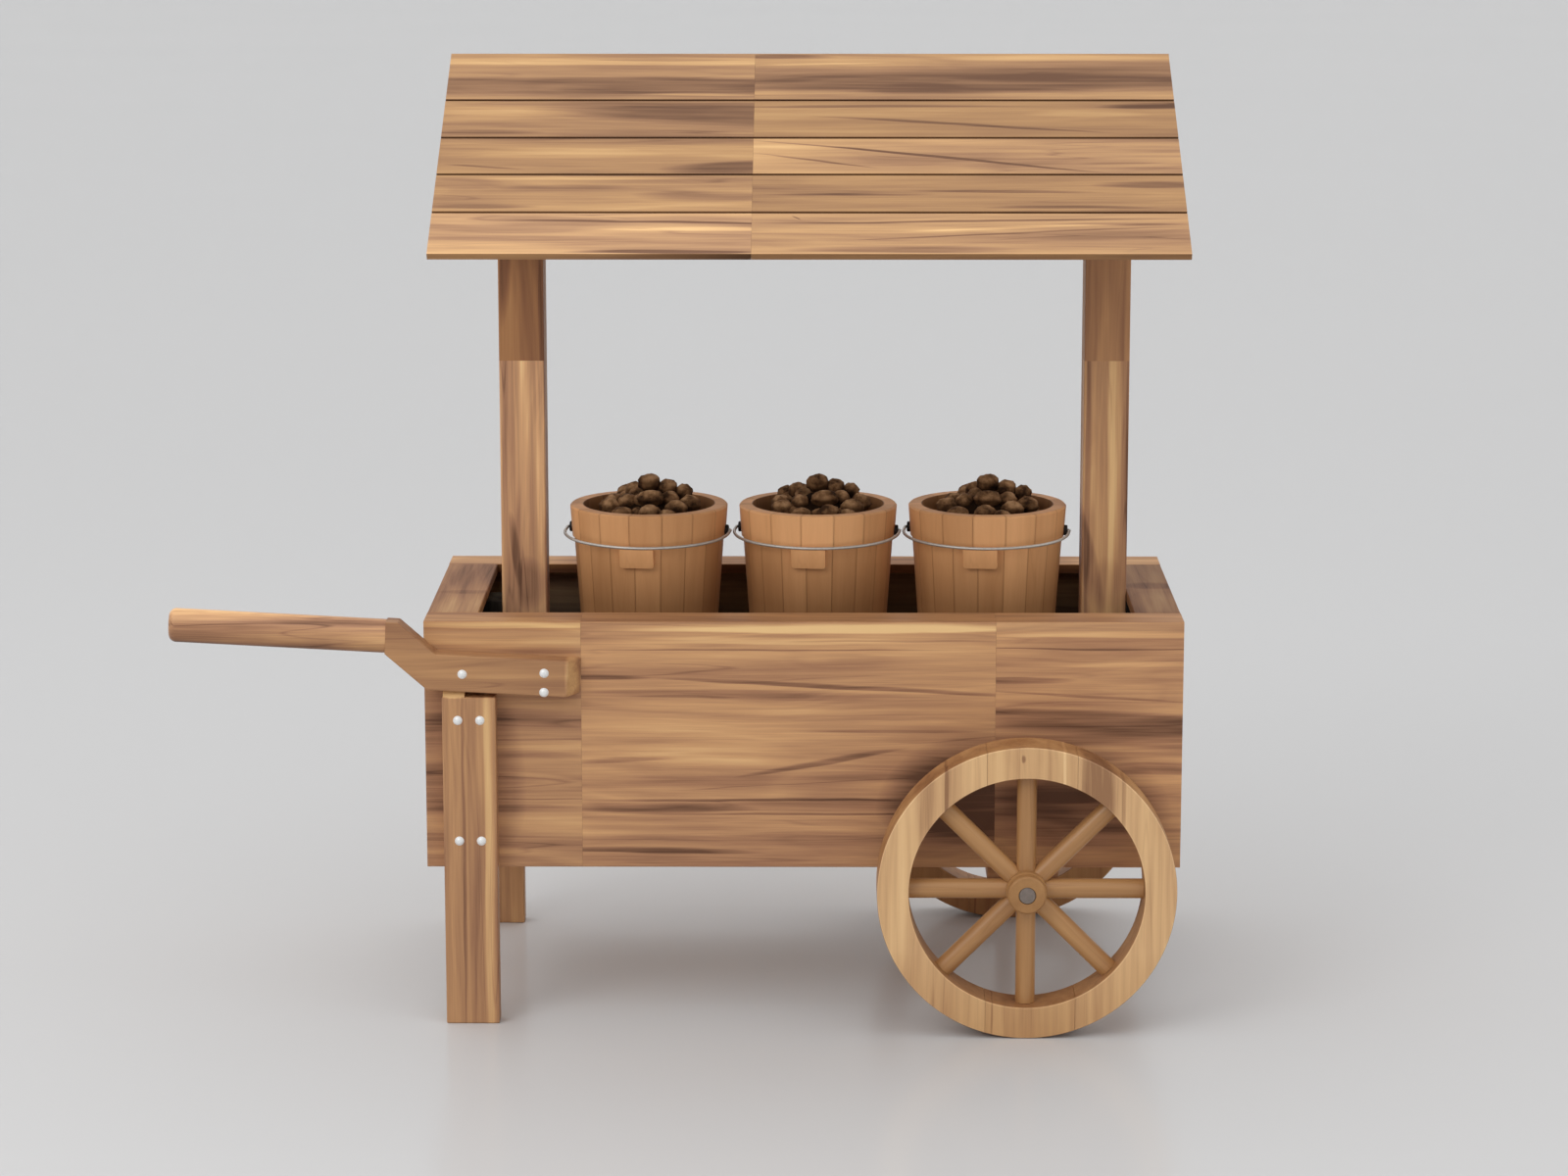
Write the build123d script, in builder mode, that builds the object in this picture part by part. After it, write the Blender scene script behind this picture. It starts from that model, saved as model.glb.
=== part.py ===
from build123d import *
import os
from math import asin, atan2, cos, degrees, radians, sin, sqrt, tan

os.makedirs("parts", exist_ok=True)

# Vending cart: a plank box on two legs and two spoked wheels, a gable roof on two posts,
# and three stave buckets of nuts on a deck inside the box.
# Millimetres. The floor is z 0, +X runs from the handle end to the wheel end, -Y is the serving front,
# and the origin lies on the floor under the middle of the whole cart.

# Box body
total_length = 1690
body_length = 1268
body_depth = 588
body_bottom = 263
body_top = 685
body_x = (total_length - body_length) / 2
wall = 24
rim_width = 78
left_rim_width = 86
rim_thickness = 16
floor_thickness = 20
front_seams = (-372, 321)
seam_gap = 0.2
board_ease = 1.5
batten = 40
bearer_height = 30

# Display deck inside the box
deck_top = 574
deck_thickness = 18
deck_board_gap = 2
fitting_gap = 0.5

# Roof posts and gable roof, both a little right of the box's middle
post_size = 77
post_middle_x = 17
post_outer_x = 538
splice_z = 1087
splice_length = 120
post_top = 1500
ridge_z = 1606
eave_y = 521
eave_z = 1327
roof_middle_x = 9
roof_length = 1213
roof_board = 12
roof_joints = (118, 227, 335, 448)
roof_row_gap = 4
roof_board_ease = 1
roof_seam = -83
ridge_beam_width = 40
beam_overhang = 10
frame_board = 38
rafter_depth = 40
rafter_eave_setback = 70
tie_bottom = 1316
tie_depth = 60

# Legs, handle and their coach screws
leg_left = -602
leg_width = 89
leg_thickness = 38
leg_height = 563
leg_heel_width = 36
leg_heel_height = 10
leg_screw_spacing = (37, 207)
leg_screw_middle_z = 421
handle_slope = 3
handle_thickness = 40
handle_end = (-394, 564.5)
bar_height = 61
crank_rise = 57
crank_top_start = 221
crank_low_start = 232.5
crank_end = 284.5
arm_length = 305
arm_end_height = 54.5
end_bevel = 20
grip_length = 361.47
grip_half_height = 28.5
grip_half_thickness = 20.5
grip_end_radius = 12.5
grip_tenon_radius = 15
grip_tenon_length = 50
bar_screws = ((39, 39), (175, 30), (38, 6.5))
screw_radius = 4
screw_head_radius = 7.8
screw_head_height = 4.4
screw_bite = 19
screw_clearance = 0.05

# Wheels and axle
wheel_radius = 249
wheel_inner_radius = 196
wheel_width = 76
wheel_x = 371
wheel_face_y = 412
wheel_glue_lines = (-68, 82)
glue_line_gap = 0.5
spoke_count = 8
spoke_radius = 16.5
spoke_mitre_gap = 0.3
spoke_mitre_length = 60
spoke_tenon_radius = 8
hub_tenon_depth = 11
rim_tenon_depth = 25
tenon_clearance = 0.05
hub_radius = 34
hub_drum_width = 52
hub_nose_radius = 32
hub_nose_length = 50
hub_tail_length = 59.5
hub_ease = 3
axle_radius = 13.5
journal_radius = 10
journal_clearance = 0.05
cap_radius = 14
cap_thickness = 6
cap_recess_gap = 0.5
axle_block_length = 120
axle_block_width = 90
axle_block_outer_y = 260
axle_block_bottom = 215

# Buckets
bucket_middle_x = 24
bucket_spacing = 292
bucket_turn = -7
bucket_height = 260
bucket_base_radius = 114.4
bucket_taper = 0.0722
bucket_wall = 20
stave_count = 18
stave_first_seam = 8
collar_count = 15
collar_first_seam = 0.5
stave_gap = 0.4
collar_bottom = 206
collar_proud = 3
collar_edge_round = 3
bottom_height = 14
bottom_thickness = 14
croze_depth = 6
ear_height = 216
ear_radius = 9
ear_reach = 138.7
wire_radius = 2.5
pin_clearance = 0.06
bail_half_width = 142.2
bail_bend = 3
bail_leg = 17
bail_corner_radius = 112
bail_corner_angle = 55
bail_pin_end = 134
rest_width = 58
rest_height = 33
rest_reach = 142
rest_foot_reach = 135
rest_corner = 5
rest_gap = 0.3

# Nuts heaped in the buckets
fill_height = 226
fill_peak = 284
nut_width = 27
nut_taper = 0.55
nuts_in_heap = [
    # to the right, to the back, above the deck, length, turn
    (3, 5, 297, 36, 10), (29, 14, 284, 38, 60), (56, 20, 277, 28, 0), (8, -35, 276, 44, 5),
    (-31, -25, 267, 32, 70), (-63, -30, 257, 36, -15), (71, -5, 261, 36, 20), (54, -45, 259, 36, -10),
    (13, -66, 256, 36, 15), (42, -74, 250, 30, -30), (-35, -72, 251, 34, 25), (37, -12, 270, 30, 45),
    (-29, 40, 277, 34, -20), (-48, 62, 267, 32, 30), (-60, 15, 260, 34, 80), (-20, 28, 269, 40, 40),
    (-44, 50, 258, 38, 0), (58, 22, 259, 38, 30), (10, 48, 270, 38, 0), (42, 58, 257, 36, 40),
    (-5, 82, 250, 34, 10),
]

half_length = body_length / 2
half_depth = body_depth / 2
inner_x = half_length - wall
inner_y = half_depth - wall
panel_top = body_top - rim_thickness
floor_top = body_bottom + floor_thickness
post_left_x = post_middle_x - post_outer_x
post_right_x = post_middle_x + post_outer_x
half_post = post_size / 2
slope = atan2(ridge_z - eave_z, eave_y)
slope_length = eave_y / cos(slope)
axle_x = body_x + wheel_x
wheel_y = wheel_face_y - wheel_width / 2
screw_hole_radius = screw_radius + screw_clearance


def save(piece, name):
    piece.part.label = name
    export_step(piece.part, f"parts/{name}.step")


def boards(limits, long_axis=None, level=0, screw_holes=()):
    """Straight boards, each between its x, y and z limits, with cross holes along Y.

    With a long axis, only the edges along it at the bottom (0) or the top (-1) are eased, and the boards'
    other edges butt sharp against their neighbours.
    """
    with BuildPart() as piece:
        for x, y, z in limits:
            with Locations((body_x + sum(x) / 2, sum(y) / 2, sum(z) / 2)):
                Box(x[1] - x[0], y[1] - y[0], z[1] - z[0])
        eased = piece.edges()
        if long_axis:
            eased = eased.filter_by(long_axis).group_by(Axis.Z)[level]
        chamfer(eased, board_ease)
        for x, y, z in screw_holes:
            with Locations((body_x + x, y, z)):
                Cylinder(screw_hole_radius, 2 * half_depth, rotation=(90, 0, 0), mode=Mode.SUBTRACT)
    return piece


def mirrored(side, low, high):
    """The limits of a board on the near (-1) or far (+1) side, from its distances to the middle."""
    return (low, high) if side > 0 else (-high, -low)


# Coach screw positions: four in each leg, three in the handle's bar
leg_middle = leg_left + leg_width / 2
leg_screws = [
    (leg_middle + i * leg_screw_spacing[0] / 2, leg_screw_middle_z + j * leg_screw_spacing[1] / 2)
    for i in (-1, 1)
    for j in (-1, 1)
]
handle_front_y = -half_depth - handle_thickness
handle_plane = Plane(
    origin=(body_x + handle_end[0], handle_front_y, handle_end[1]),
    x_dir=(-cos(radians(handle_slope)), 0, sin(radians(handle_slope))),
    z_dir=(0, 1, 0),
)
handle_screws = [handle_plane.from_local_coords(Vector(u, v, 0)) for u, v in bar_screws]
near_holes = [(x, -half_depth, z) for x, z in leg_screws]
far_holes = [(x, half_depth, z) for x, z in leg_screws]
bar_holes = [(point.X - body_x, -half_depth, point.Z) for point in handle_screws]

# Box body: panels, floor and rim cap
panel_z = (body_bottom, panel_top)
front_ends = [-half_length, *front_seams, half_length]
front_spans = [
    (left + seam_gap / 2, right - seam_gap / 2)
    for left, right in zip(front_ends, front_ends[1:])
]
front_limits = [(span, (-half_depth, -inner_y), panel_z) for span in front_spans]
save(boards(front_limits, Axis.X, screw_holes=near_holes + bar_holes), "front_panel")
full_length = (-half_length, half_length)
save(boards([(full_length, (inner_y, half_depth), panel_z)], Axis.X, screw_holes=far_holes), "back_panel")
for name, side in (("left", -1), ("right", 1)):
    end_limits = (mirrored(side, inner_x, half_length), (-inner_y, inner_y), panel_z)
    save(boards([end_limits], Axis.Y), f"{name}_end_panel")
save(boards([((-inner_x, inner_x), (-inner_y, inner_y), (body_bottom, floor_top))]), "floor_panel")

rim_z = (panel_top, body_top)
rim_inner_y = half_depth - rim_width
rim_front_limits = [(span, (-half_depth, -rim_inner_y), rim_z) for span in front_spans]
save(boards(rim_front_limits, Axis.X, level=-1), "rim_front")
save(boards([(full_length, (rim_inner_y, half_depth), rim_z)], Axis.X, level=-1), "rim_back")
for name, side, width in (("left", -1, left_rim_width), ("right", 1, rim_width)):
    rim_x = mirrored(side, half_length - width, half_length)
    save(boards([(rim_x, (-rim_inner_y, rim_inner_y), rim_z)], Axis.Y, level=-1), f"rim_{name}")

# Inner battens: corner posts, bearers under the deck, packing blocks between end walls and roof posts
deck_bottom = deck_top - deck_thickness
batten_limits = []
for side_x in (-1, 1):
    for side_y in (-1, 1):
        corner_x = mirrored(side_x, inner_x - batten, inner_x)
        corner_y = mirrored(side_y, inner_y - batten, inner_y)
        batten_limits.append((corner_x, corner_y, (floor_top, panel_top)))
for packing_x in ((-inner_x, post_left_x), (post_right_x, inner_x)):
    batten_limits.append((packing_x, (-half_post, half_post), (deck_top, panel_top)))
bearer_x = (-inner_x + batten + fitting_gap, inner_x - batten - fitting_gap)
for side_y in (-1, 1):
    bearer_y = mirrored(side_y, inner_y - wall, inner_y)
    batten_limits.append((bearer_x, bearer_y, (deck_bottom - bearer_height, deck_bottom)))
save(boards(batten_limits), "inner_battens")

# Display deck: three boards, notched round the corner battens and the roof posts
deck_board = (2 * inner_y - 2 * deck_board_gap) / 3
with BuildPart() as deck:
    for row in (-1, 0, 1):
        with Locations((body_x, row * (deck_board + deck_board_gap), deck_top - deck_thickness / 2)):
            Box(2 * inner_x, deck_board, deck_thickness)
    notch = batten + fitting_gap
    with Locations((body_x, 0, deck_top)):
        with GridLocations(2 * inner_x - notch, 2 * inner_y - notch, 2, 2):
            Box(notch, notch, 2 * deck_thickness, mode=Mode.SUBTRACT)
    with Locations((body_x + post_middle_x, 0, deck_top)):
        with GridLocations(2 * post_outer_x - post_size, 0, 2, 1):
            Box(post_size + fitting_gap, post_size + fitting_gap, 2 * deck_thickness, mode=Mode.SUBTRACT)
save(deck, "display_deck")


def post_length(outer_x, profile):
    """One length of a roof post: a lapped profile in Y and Z, carried across the post's width."""
    with BuildPart() as piece:
        with BuildSketch(Plane.YZ.offset(outer_x)):
            with BuildLine():
                Polyline(*profile, close=True)
            make_face()
        extrude(amount=post_size)
        corners = piece.edges().filter_by(Axis.Z)
        chamfer(corners.filter_by(lambda edge: abs(edge.center().Y) > half_post / 2), board_ease)
    return piece


# Roof posts: each spliced from two lengths with a half lap, its shoulder facing the front
lap_z = splice_z - splice_length
lower_profile = [
    (-half_post, floor_top), (half_post, floor_top), (half_post, lap_z),
    (0, lap_z), (0, splice_z), (-half_post, splice_z),
]
upper_profile = [
    (-half_post, splice_z), (0, splice_z), (0, lap_z),
    (half_post, lap_z), (half_post, post_top), (-half_post, post_top),
]
for name, post_x in (("left", post_left_x), ("right", post_right_x - post_size)):
    save(post_length(body_x + post_x, lower_profile), f"{name}_post_lower")
    save(post_length(body_x + post_x, upper_profile), f"{name}_post_upper")


def on_slope(along, depth):
    """Y and Z of a point on the front slope: a distance up from the eave and a depth under the top face."""
    y = -eave_y + along * cos(slope) + depth * sin(slope)
    z = eave_z + along * sin(slope) - depth * cos(slope)
    return y, z


def slope_at(y, depth):
    """Distance up the front slope where a given depth under the top face reaches a given y."""
    return (y + eave_y - depth * sin(slope)) / cos(slope)


def across(profile, x_limits, side, ease=0):
    """Bars with one Y, Z profile of the front slope (-1) or its mirror image at the back (+1)."""
    with BuildPart() as piece:
        for left, right in x_limits:
            with BuildSketch(Plane.YZ.offset(body_x + left)):
                with BuildLine():
                    Polyline(*[(-side * y, z) for y, z in profile], close=True)
                make_face()
            extrude(amount=right - left)
        if ease:
            chamfer(piece.edges().filter_by(Axis.X), ease)
    return piece


# Roof boards: five rows a slope, the top row cut plumb where the two slopes meet
row_starts = [0, *roof_joints]
row_ends = [*roof_joints, slope_length]
half_roof = roof_length / 2
board_spans = [
    (roof_middle_x - half_roof, roof_seam - seam_gap / 2),
    (roof_seam + seam_gap / 2, roof_middle_x + half_roof),
]
for name, side in (("front", -1), ("back", 1)):
    for row, (low, high) in enumerate(zip(row_starts, row_ends)):
        top_end = high - roof_row_gap
        under_end = top_end
        if high == slope_length:
            top_end = slope_at(-seam_gap / 2, 0)
            under_end = slope_at(-seam_gap / 2, roof_board)
        profile = [
            on_slope(low, 0), on_slope(top_end, 0),
            on_slope(under_end, roof_board), on_slope(low, roof_board),
        ]
        save(across(profile, board_spans, side, roof_board_ease), f"roof_{name}_board_{row + 1}")

# Roof frame: peaked ridge beam on the post tops, rafters and tie beams against the posts' outer faces
half_beam = ridge_beam_width / 2
frame_spans = [(post_left_x - frame_board, post_left_x), (post_right_x, post_right_x + frame_board)]
beam_side = on_slope(slope_at(-half_beam, roof_board), roof_board)
beam_peak = on_slope(slope_at(0, roof_board), roof_board)
beam_profile = [
    (-half_beam, post_top), beam_side, beam_peak,
    (half_beam, beam_side[1]), (half_beam, post_top),
]
beam_ends = (frame_spans[0][0] - beam_overhang, frame_spans[1][1] + beam_overhang)
save(across(beam_profile, [beam_ends], -1), "ridge_beam")

rafter_under = roof_board + rafter_depth
rafter_profile = [
    on_slope(rafter_eave_setback, roof_board),
    on_slope(slope_at(-half_beam, roof_board), roof_board),
    on_slope(slope_at(-half_beam, rafter_under), rafter_under),
    on_slope(rafter_eave_setback, rafter_under),
]
with BuildPart() as rafters:
    for side in (-1, 1):
        for left, right in frame_spans:
            with BuildSketch(Plane.YZ.offset(body_x + left)):
                with BuildLine():
                    Polyline(*[(-side * y, z) for y, z in rafter_profile], close=True)
                make_face()
            extrude(amount=right - left)
save(rafters, "rafters")

rafter_peak = on_slope(slope_at(0, rafter_under), rafter_under)[1]
tie_top = tie_bottom + tie_depth
tie_half_bottom = (rafter_peak - tie_bottom) / tan(slope)
tie_half_top = (rafter_peak - tie_top) / tan(slope)
tie_profile = [
    (-tie_half_bottom, tie_bottom), (tie_half_bottom, tie_bottom),
    (tie_half_top, tie_top), (-tie_half_top, tie_top),
]
save(across(tie_profile, frame_spans, -1), "tie_beams")

# Legs, screwed to the outer faces of the front and back panels
leg_x = (leg_left, leg_left + leg_width)
leg_z = (0, leg_height)
leg_face_y = half_depth + leg_thickness
save(boards([(leg_x, (half_depth, leg_face_y), leg_z)], screw_holes=far_holes), "far_leg")

# The near leg's top rises at its left into a bevelled heel under the handle's bar
heel_foot = leg_height - board_ease
heel_top = leg_height + leg_heel_height
with BuildPart() as near_leg:
    add(boards([(leg_x, (-leg_face_y, -half_depth), leg_z)], screw_holes=near_holes).part)
    with BuildSketch(Plane.YZ.offset(body_x + leg_left + board_ease)):
        with BuildLine():
            Polyline(
                (-leg_face_y, heel_foot), (-half_depth - board_ease, heel_foot),
                (-half_depth - board_ease, heel_top), (heel_top - heel_foot - leg_face_y, heel_top),
                close=True,
            )
        make_face()
    extrude(amount=leg_heel_width)
save(near_leg, "near_leg")

# Handle arm: a flat bar that cranks up to the grip, with a bevelled end and a round tenon
grip_axis_height = crank_rise + arm_end_height / 2
crank_top = crank_rise + arm_end_height
arm_outline = [
    (-end_bevel, 0), (crank_low_start, 0), (arm_length, crank_rise),
    (arm_length, crank_top), (crank_end, crank_top),
    (crank_top_start, bar_height), (-end_bevel, bar_height),
]
grip_plane = Plane(
    origin=handle_plane.from_local_coords(Vector(arm_length, grip_axis_height, handle_thickness / 2)),
    x_dir=handle_plane.y_dir,
    z_dir=handle_plane.x_dir,
)
with BuildPart() as arm:
    with BuildSketch(handle_plane):
        with BuildLine():
            Polyline(*arm_outline, close=True)
        make_face()
    extrude(amount=handle_thickness)
    bevel_plane = Plane(handle_plane.origin, x_dir=handle_plane.x_dir, z_dir=handle_plane.y_dir)
    with BuildSketch(bevel_plane):
        with BuildLine():
            Polyline((0, 0), (-end_bevel, -handle_thickness), (-end_bevel, 0), close=True)
        make_face()
    extrude(amount=bar_height, mode=Mode.SUBTRACT)
    open_edges = arm.edges().filter_by(
        lambda edge: handle_plane.to_local_coords(edge.center()).X < arm_length - board_ease
    )
    chamfer(open_edges, board_ease)
    with BuildSketch(grip_plane):
        Circle(grip_tenon_radius)
    extrude(amount=grip_tenon_length)
    for x, y, z in bar_holes:
        with Locations((body_x + x, y, z)):
            Cylinder(screw_hole_radius, half_depth, rotation=(90, 0, 0), mode=Mode.SUBTRACT)
save(arm, "handle_arm")

# Handle grip: an oval bar as thick as the arm, with a rounded end, bored for the arm's tenon
with BuildPart() as grip:
    with BuildSketch(grip_plane):
        Ellipse(grip_half_height, grip_half_thickness)
    extrude(amount=grip_length)
    free_end = grip.faces().sort_by(Axis(grip_plane.origin, grip_plane.z_dir))[-1]
    fillet(free_end.edges(), grip_end_radius)
    with BuildSketch(grip_plane):
        Circle(grip_tenon_radius + tenon_clearance)
    extrude(amount=grip_tenon_length + fitting_gap, mode=Mode.SUBTRACT)
save(grip, "handle_grip")


def coach_screw(head_x, head_y, head_z, inward, reach):
    """One dome-headed screw, its head's underside at the given point and its shank running inward."""
    profile_plane = Plane((head_x, head_y, head_z), x_dir=(1, 0, 0), z_dir=(0, 0, inward))
    dome_radius = (screw_head_radius**2 + screw_head_height**2) / (2 * screw_head_height)
    dome_angle = degrees(asin(screw_head_radius / dome_radius))
    with BuildSketch(profile_plane) as half:
        with BuildLine():
            Polyline((0, -screw_head_height), (0, reach), (screw_radius, reach), (screw_radius, 0))
            Line((screw_radius, 0), (screw_head_radius, 0))
            CenterArc((0, dome_radius - screw_head_height), dome_radius, -90, dome_angle)
        make_face()
    revolve(half.sketch, axis=Axis((head_x, head_y, head_z), (0, 1, 0)))


# Coach screws of both legs and the handle
with BuildPart() as screws:
    for x, z in leg_screws:
        for side in (-1, 1):
            coach_screw(body_x + x, side * leg_face_y, z, -side, leg_thickness + screw_bite)
    for point in handle_screws:
        coach_screw(point.X, handle_front_y, point.Z, 1, handle_thickness + screw_bite)
save(screws, "coach_screws")

# Axle: a stepped bar whose shoulders stop the hubs, in two blocks under the floor, with end caps
shoulder_y = wheel_y - hub_tail_length - cap_recess_gap
nose_y = wheel_y + hub_nose_length
axle_plane = Plane((axle_x, 0, wheel_radius), x_dir=(1, 0, 0), z_dir=(0, 0, 1))
axle_line = Axis((axle_x, 0, wheel_radius), (0, 1, 0))
axle_end = nose_y - cap_thickness
with BuildPart() as axle:
    with BuildSketch(axle_plane):
        with BuildLine():
            Polyline(
                (0, -axle_end), (journal_radius, -axle_end),
                (journal_radius, -shoulder_y), (axle_radius, -shoulder_y),
                (axle_radius, shoulder_y), (journal_radius, shoulder_y),
                (journal_radius, axle_end), (0, axle_end),
                close=True,
            )
        make_face()
    revolve(axis=axle_line)
save(axle, "axle")

with BuildPart() as axle_blocks:
    for side in (-1, 1):
        block_y = mirrored(side, axle_block_outer_y - axle_block_width, axle_block_outer_y)
        block_height = body_bottom - axle_block_bottom
        with BuildSketch(Plane.XZ.offset(-block_y[1])):
            with Locations((axle_x, (body_bottom + axle_block_bottom) / 2)):
                Rectangle(axle_block_length, block_height)
            with Locations((axle_x, wheel_radius)):
                Circle(axle_radius + tenon_clearance, mode=Mode.SUBTRACT)
        extrude(amount=axle_block_width)
    lower_ends = axle_blocks.edges().filter_by(Axis.Y).group_by(Axis.Z)[0]
    chamfer(lower_ends, block_height / 3)
save(axle_blocks, "axle_blocks")

with BuildPart() as axle_caps:
    for side in (-1, 1):
        cap_plane = Plane((axle_x, side * axle_end, wheel_radius), x_dir=(1, 0, 0), z_dir=(0, side, 0))
        with BuildSketch(cap_plane):
            Circle(cap_radius)
        extrude(amount=cap_thickness)
    outer_rims = axle_caps.edges().filter_by(
        lambda edge: abs(edge.center().Y) > axle_end + cap_thickness / 2
    )
    chamfer(outer_rims, 1)
save(axle_caps, "axle_caps")


def spoke_directions(plane):
    """Unit vectors from the wheel's middle along its spokes."""
    angles = [radians(360 / spoke_count * k) for k in range(spoke_count)]
    return [plane.x_dir * cos(a) + plane.y_dir * sin(a) for a in angles]


def wheel_rim(plane):
    """Rim ring glued up from upright boards, with eased edges and a mortise for every spoke."""
    with BuildPart() as rim:
        with BuildSketch(plane):
            Circle(wheel_radius)
            Circle(wheel_inner_radius, mode=Mode.SUBTRACT)
        extrude(amount=wheel_width / 2, both=True)
        chamfer(rim.edges().filter_by(GeomType.CIRCLE), board_ease)
        with BuildSketch(plane):
            for line in wheel_glue_lines:
                with Locations((line, 0)):
                    Rectangle(glue_line_gap, 2 * wheel_radius + wheel_width)
        extrude(amount=wheel_width, both=True, mode=Mode.SUBTRACT)
        mortise_end = wheel_inner_radius + rim_tenon_depth + fitting_gap
        for direction in spoke_directions(plane):
            with BuildSketch(Plane(plane.origin + direction * hub_radius, z_dir=direction)):
                Circle(spoke_tenon_radius + tenon_clearance)
            extrude(amount=mortise_end - hub_radius, mode=Mode.SUBTRACT)
    return rim


def wheel_spokes(plane):
    """Turned spokes, coped to the hub and mitred against each other there, with a tenon at each end."""
    body_start = hub_radius / 2
    body_end = sqrt(wheel_inner_radius**2 - spoke_radius**2)
    tenon_start = hub_radius - hub_tenon_depth
    tenon_end = wheel_inner_radius + rim_tenon_depth
    directions = spoke_directions(plane)
    with BuildPart() as spokes:
        for direction in directions:
            with BuildSketch(Plane(plane.origin + direction * body_start, z_dir=direction)):
                Circle(spoke_radius)
            extrude(amount=body_end - body_start)
        with BuildSketch(plane):
            Circle(hub_radius + tenon_clearance)
            with PolarLocations(spoke_mitre_length / 2, spoke_count, start_angle=180 / spoke_count):
                Rectangle(spoke_mitre_length, spoke_mitre_gap)
        extrude(amount=wheel_width, both=True, mode=Mode.SUBTRACT)
        for direction in directions:
            with BuildSketch(Plane(plane.origin + direction * tenon_start, z_dir=direction)):
                Circle(spoke_tenon_radius)
            extrude(amount=tenon_end - tenon_start)
    return spokes


def wheel_hub(plane):
    """Turned hub: a drum that takes the spokes, a nose with the cap's recess, and a tail."""
    half_drum = hub_drum_width / 2
    bore = journal_radius + journal_clearance
    recess = cap_radius + cap_recess_gap
    recess_floor = hub_nose_length - cap_thickness - cap_recess_gap
    with BuildPart() as hub:
        with BuildSketch(Plane(plane.origin, x_dir=plane.x_dir, z_dir=-plane.y_dir)):
            with BuildLine():
                Polyline(
                    (bore, -hub_tail_length), (hub_nose_radius, -hub_tail_length),
                    (hub_nose_radius, -half_drum - hub_ease), (hub_radius, -half_drum),
                    (hub_radius, half_drum), (hub_nose_radius, half_drum + hub_ease),
                    (hub_nose_radius, hub_nose_length - hub_ease),
                    (hub_nose_radius - hub_ease, hub_nose_length),
                    (recess, hub_nose_length), (recess, recess_floor), (bore, recess_floor),
                    close=True,
                )
            make_face()
        revolve(axis=Axis(plane.origin, plane.z_dir))
        for direction in spoke_directions(plane):
            mortise_floor = hub_radius - hub_tenon_depth - fitting_gap
            with BuildSketch(Plane(plane.origin + direction * mortise_floor, z_dir=direction)):
                Circle(spoke_tenon_radius + tenon_clearance)
            extrude(amount=2 * hub_tenon_depth, mode=Mode.SUBTRACT)
    return hub


# Wheels, one outside each long wall
for name, side in (("near", -1), ("far", 1)):
    wheel_plane = Plane((axle_x, side * wheel_y, wheel_radius), x_dir=(1, 0, 0), z_dir=(0, side, 0))
    save(wheel_rim(wheel_plane), f"{name}_wheel_rim")
    save(wheel_spokes(wheel_plane), f"{name}_wheel_spokes")
    save(wheel_hub(wheel_plane), f"{name}_wheel_hub")


def outer_radius(height):
    """Outside radius of a bucket's staves at a height above its base."""
    return bucket_base_radius + bucket_taper * height


def inner_radius(height):
    return outer_radius(height) - bucket_wall


def upright(plane):
    """The vertical profile plane of a bucket: radius along x, height along y."""
    return Plane(plane.origin, x_dir=plane.x_dir, z_dir=-plane.y_dir)


def ring_of_staves(base, profile, count, first_seam):
    """Separate staves round a bucket, all with one profile given by its points."""
    pitch = 360 / count
    gap_angle = degrees(stave_gap / bucket_base_radius)
    for k in range(count):
        turned = base.rotated((0, 0, first_seam + k * pitch))
        with BuildSketch(upright(turned)) as section:
            with BuildLine():
                Polyline(*profile, close=True)
            make_face()
        revolve(section.sketch, axis=Axis(base.origin, base.z_dir), revolution_arc=pitch - gap_angle)


def bucket_staves(base):
    """Tapered staves with a groove for the bottom."""
    low = bottom_height
    high = bottom_height + bottom_thickness
    profile = [
        (inner_radius(0), 0), (outer_radius(0), 0),
        (outer_radius(collar_bottom), collar_bottom), (inner_radius(collar_bottom), collar_bottom),
        (inner_radius(high), high), (inner_radius(high) + croze_depth, high),
        (inner_radius(low) + croze_depth, low), (inner_radius(low), low),
    ]
    with BuildPart() as staves:
        ring_of_staves(base, profile, stave_count, stave_first_seam)
    return staves


def collar_cone(height):
    return outer_radius(height) + collar_proud


def bucket_collar(base):
    """Collar segments round the mouth, and under them the tapered block that the bail rests on."""
    top_edge = bucket_height - collar_edge_round
    profile = [
        (inner_radius(collar_bottom), collar_bottom), (collar_cone(collar_bottom), collar_bottom),
        (collar_cone(top_edge), top_edge), (collar_cone(bucket_height) - collar_edge_round, bucket_height),
        (inner_radius(bucket_height), bucket_height),
    ]
    rest_top = rest_block_top()
    rest_foot = rest_top - rest_height
    half_rest = rest_width / 2
    rest_side = Plane(base.origin + base.x_dir * half_rest, x_dir=-base.y_dir, z_dir=-base.x_dir)
    with BuildPart() as collar:
        ring_of_staves(base, profile, collar_count, collar_first_seam)
        with BuildSketch(rest_side):
            with BuildLine():
                Polyline(
                    (half_rest, rest_foot), (rest_foot_reach, rest_foot),
                    (rest_reach, rest_top), (half_rest, rest_top),
                    close=True,
                )
            make_face()
        extrude(amount=rest_width)
        level_edges = collar.edges(Select.LAST).filter_by(Axis(base.origin, base.y_dir))
        fillet(level_edges.group_by(Axis.Z)[0], rest_corner)
        with BuildSketch(upright(base)):
            with BuildLine():
                Polyline(
                    (0, 0), (outer_radius(0), 0),
                    (outer_radius(collar_bottom), collar_bottom), (0, collar_bottom),
                    close=True,
                )
            make_face()
        revolve(axis=Axis(base.origin, base.z_dir), mode=Mode.SUBTRACT)
    return collar


def rest_block_top():
    """Height of the rest block's top, just under the folded bail."""
    return collar_bottom - wire_radius


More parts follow.
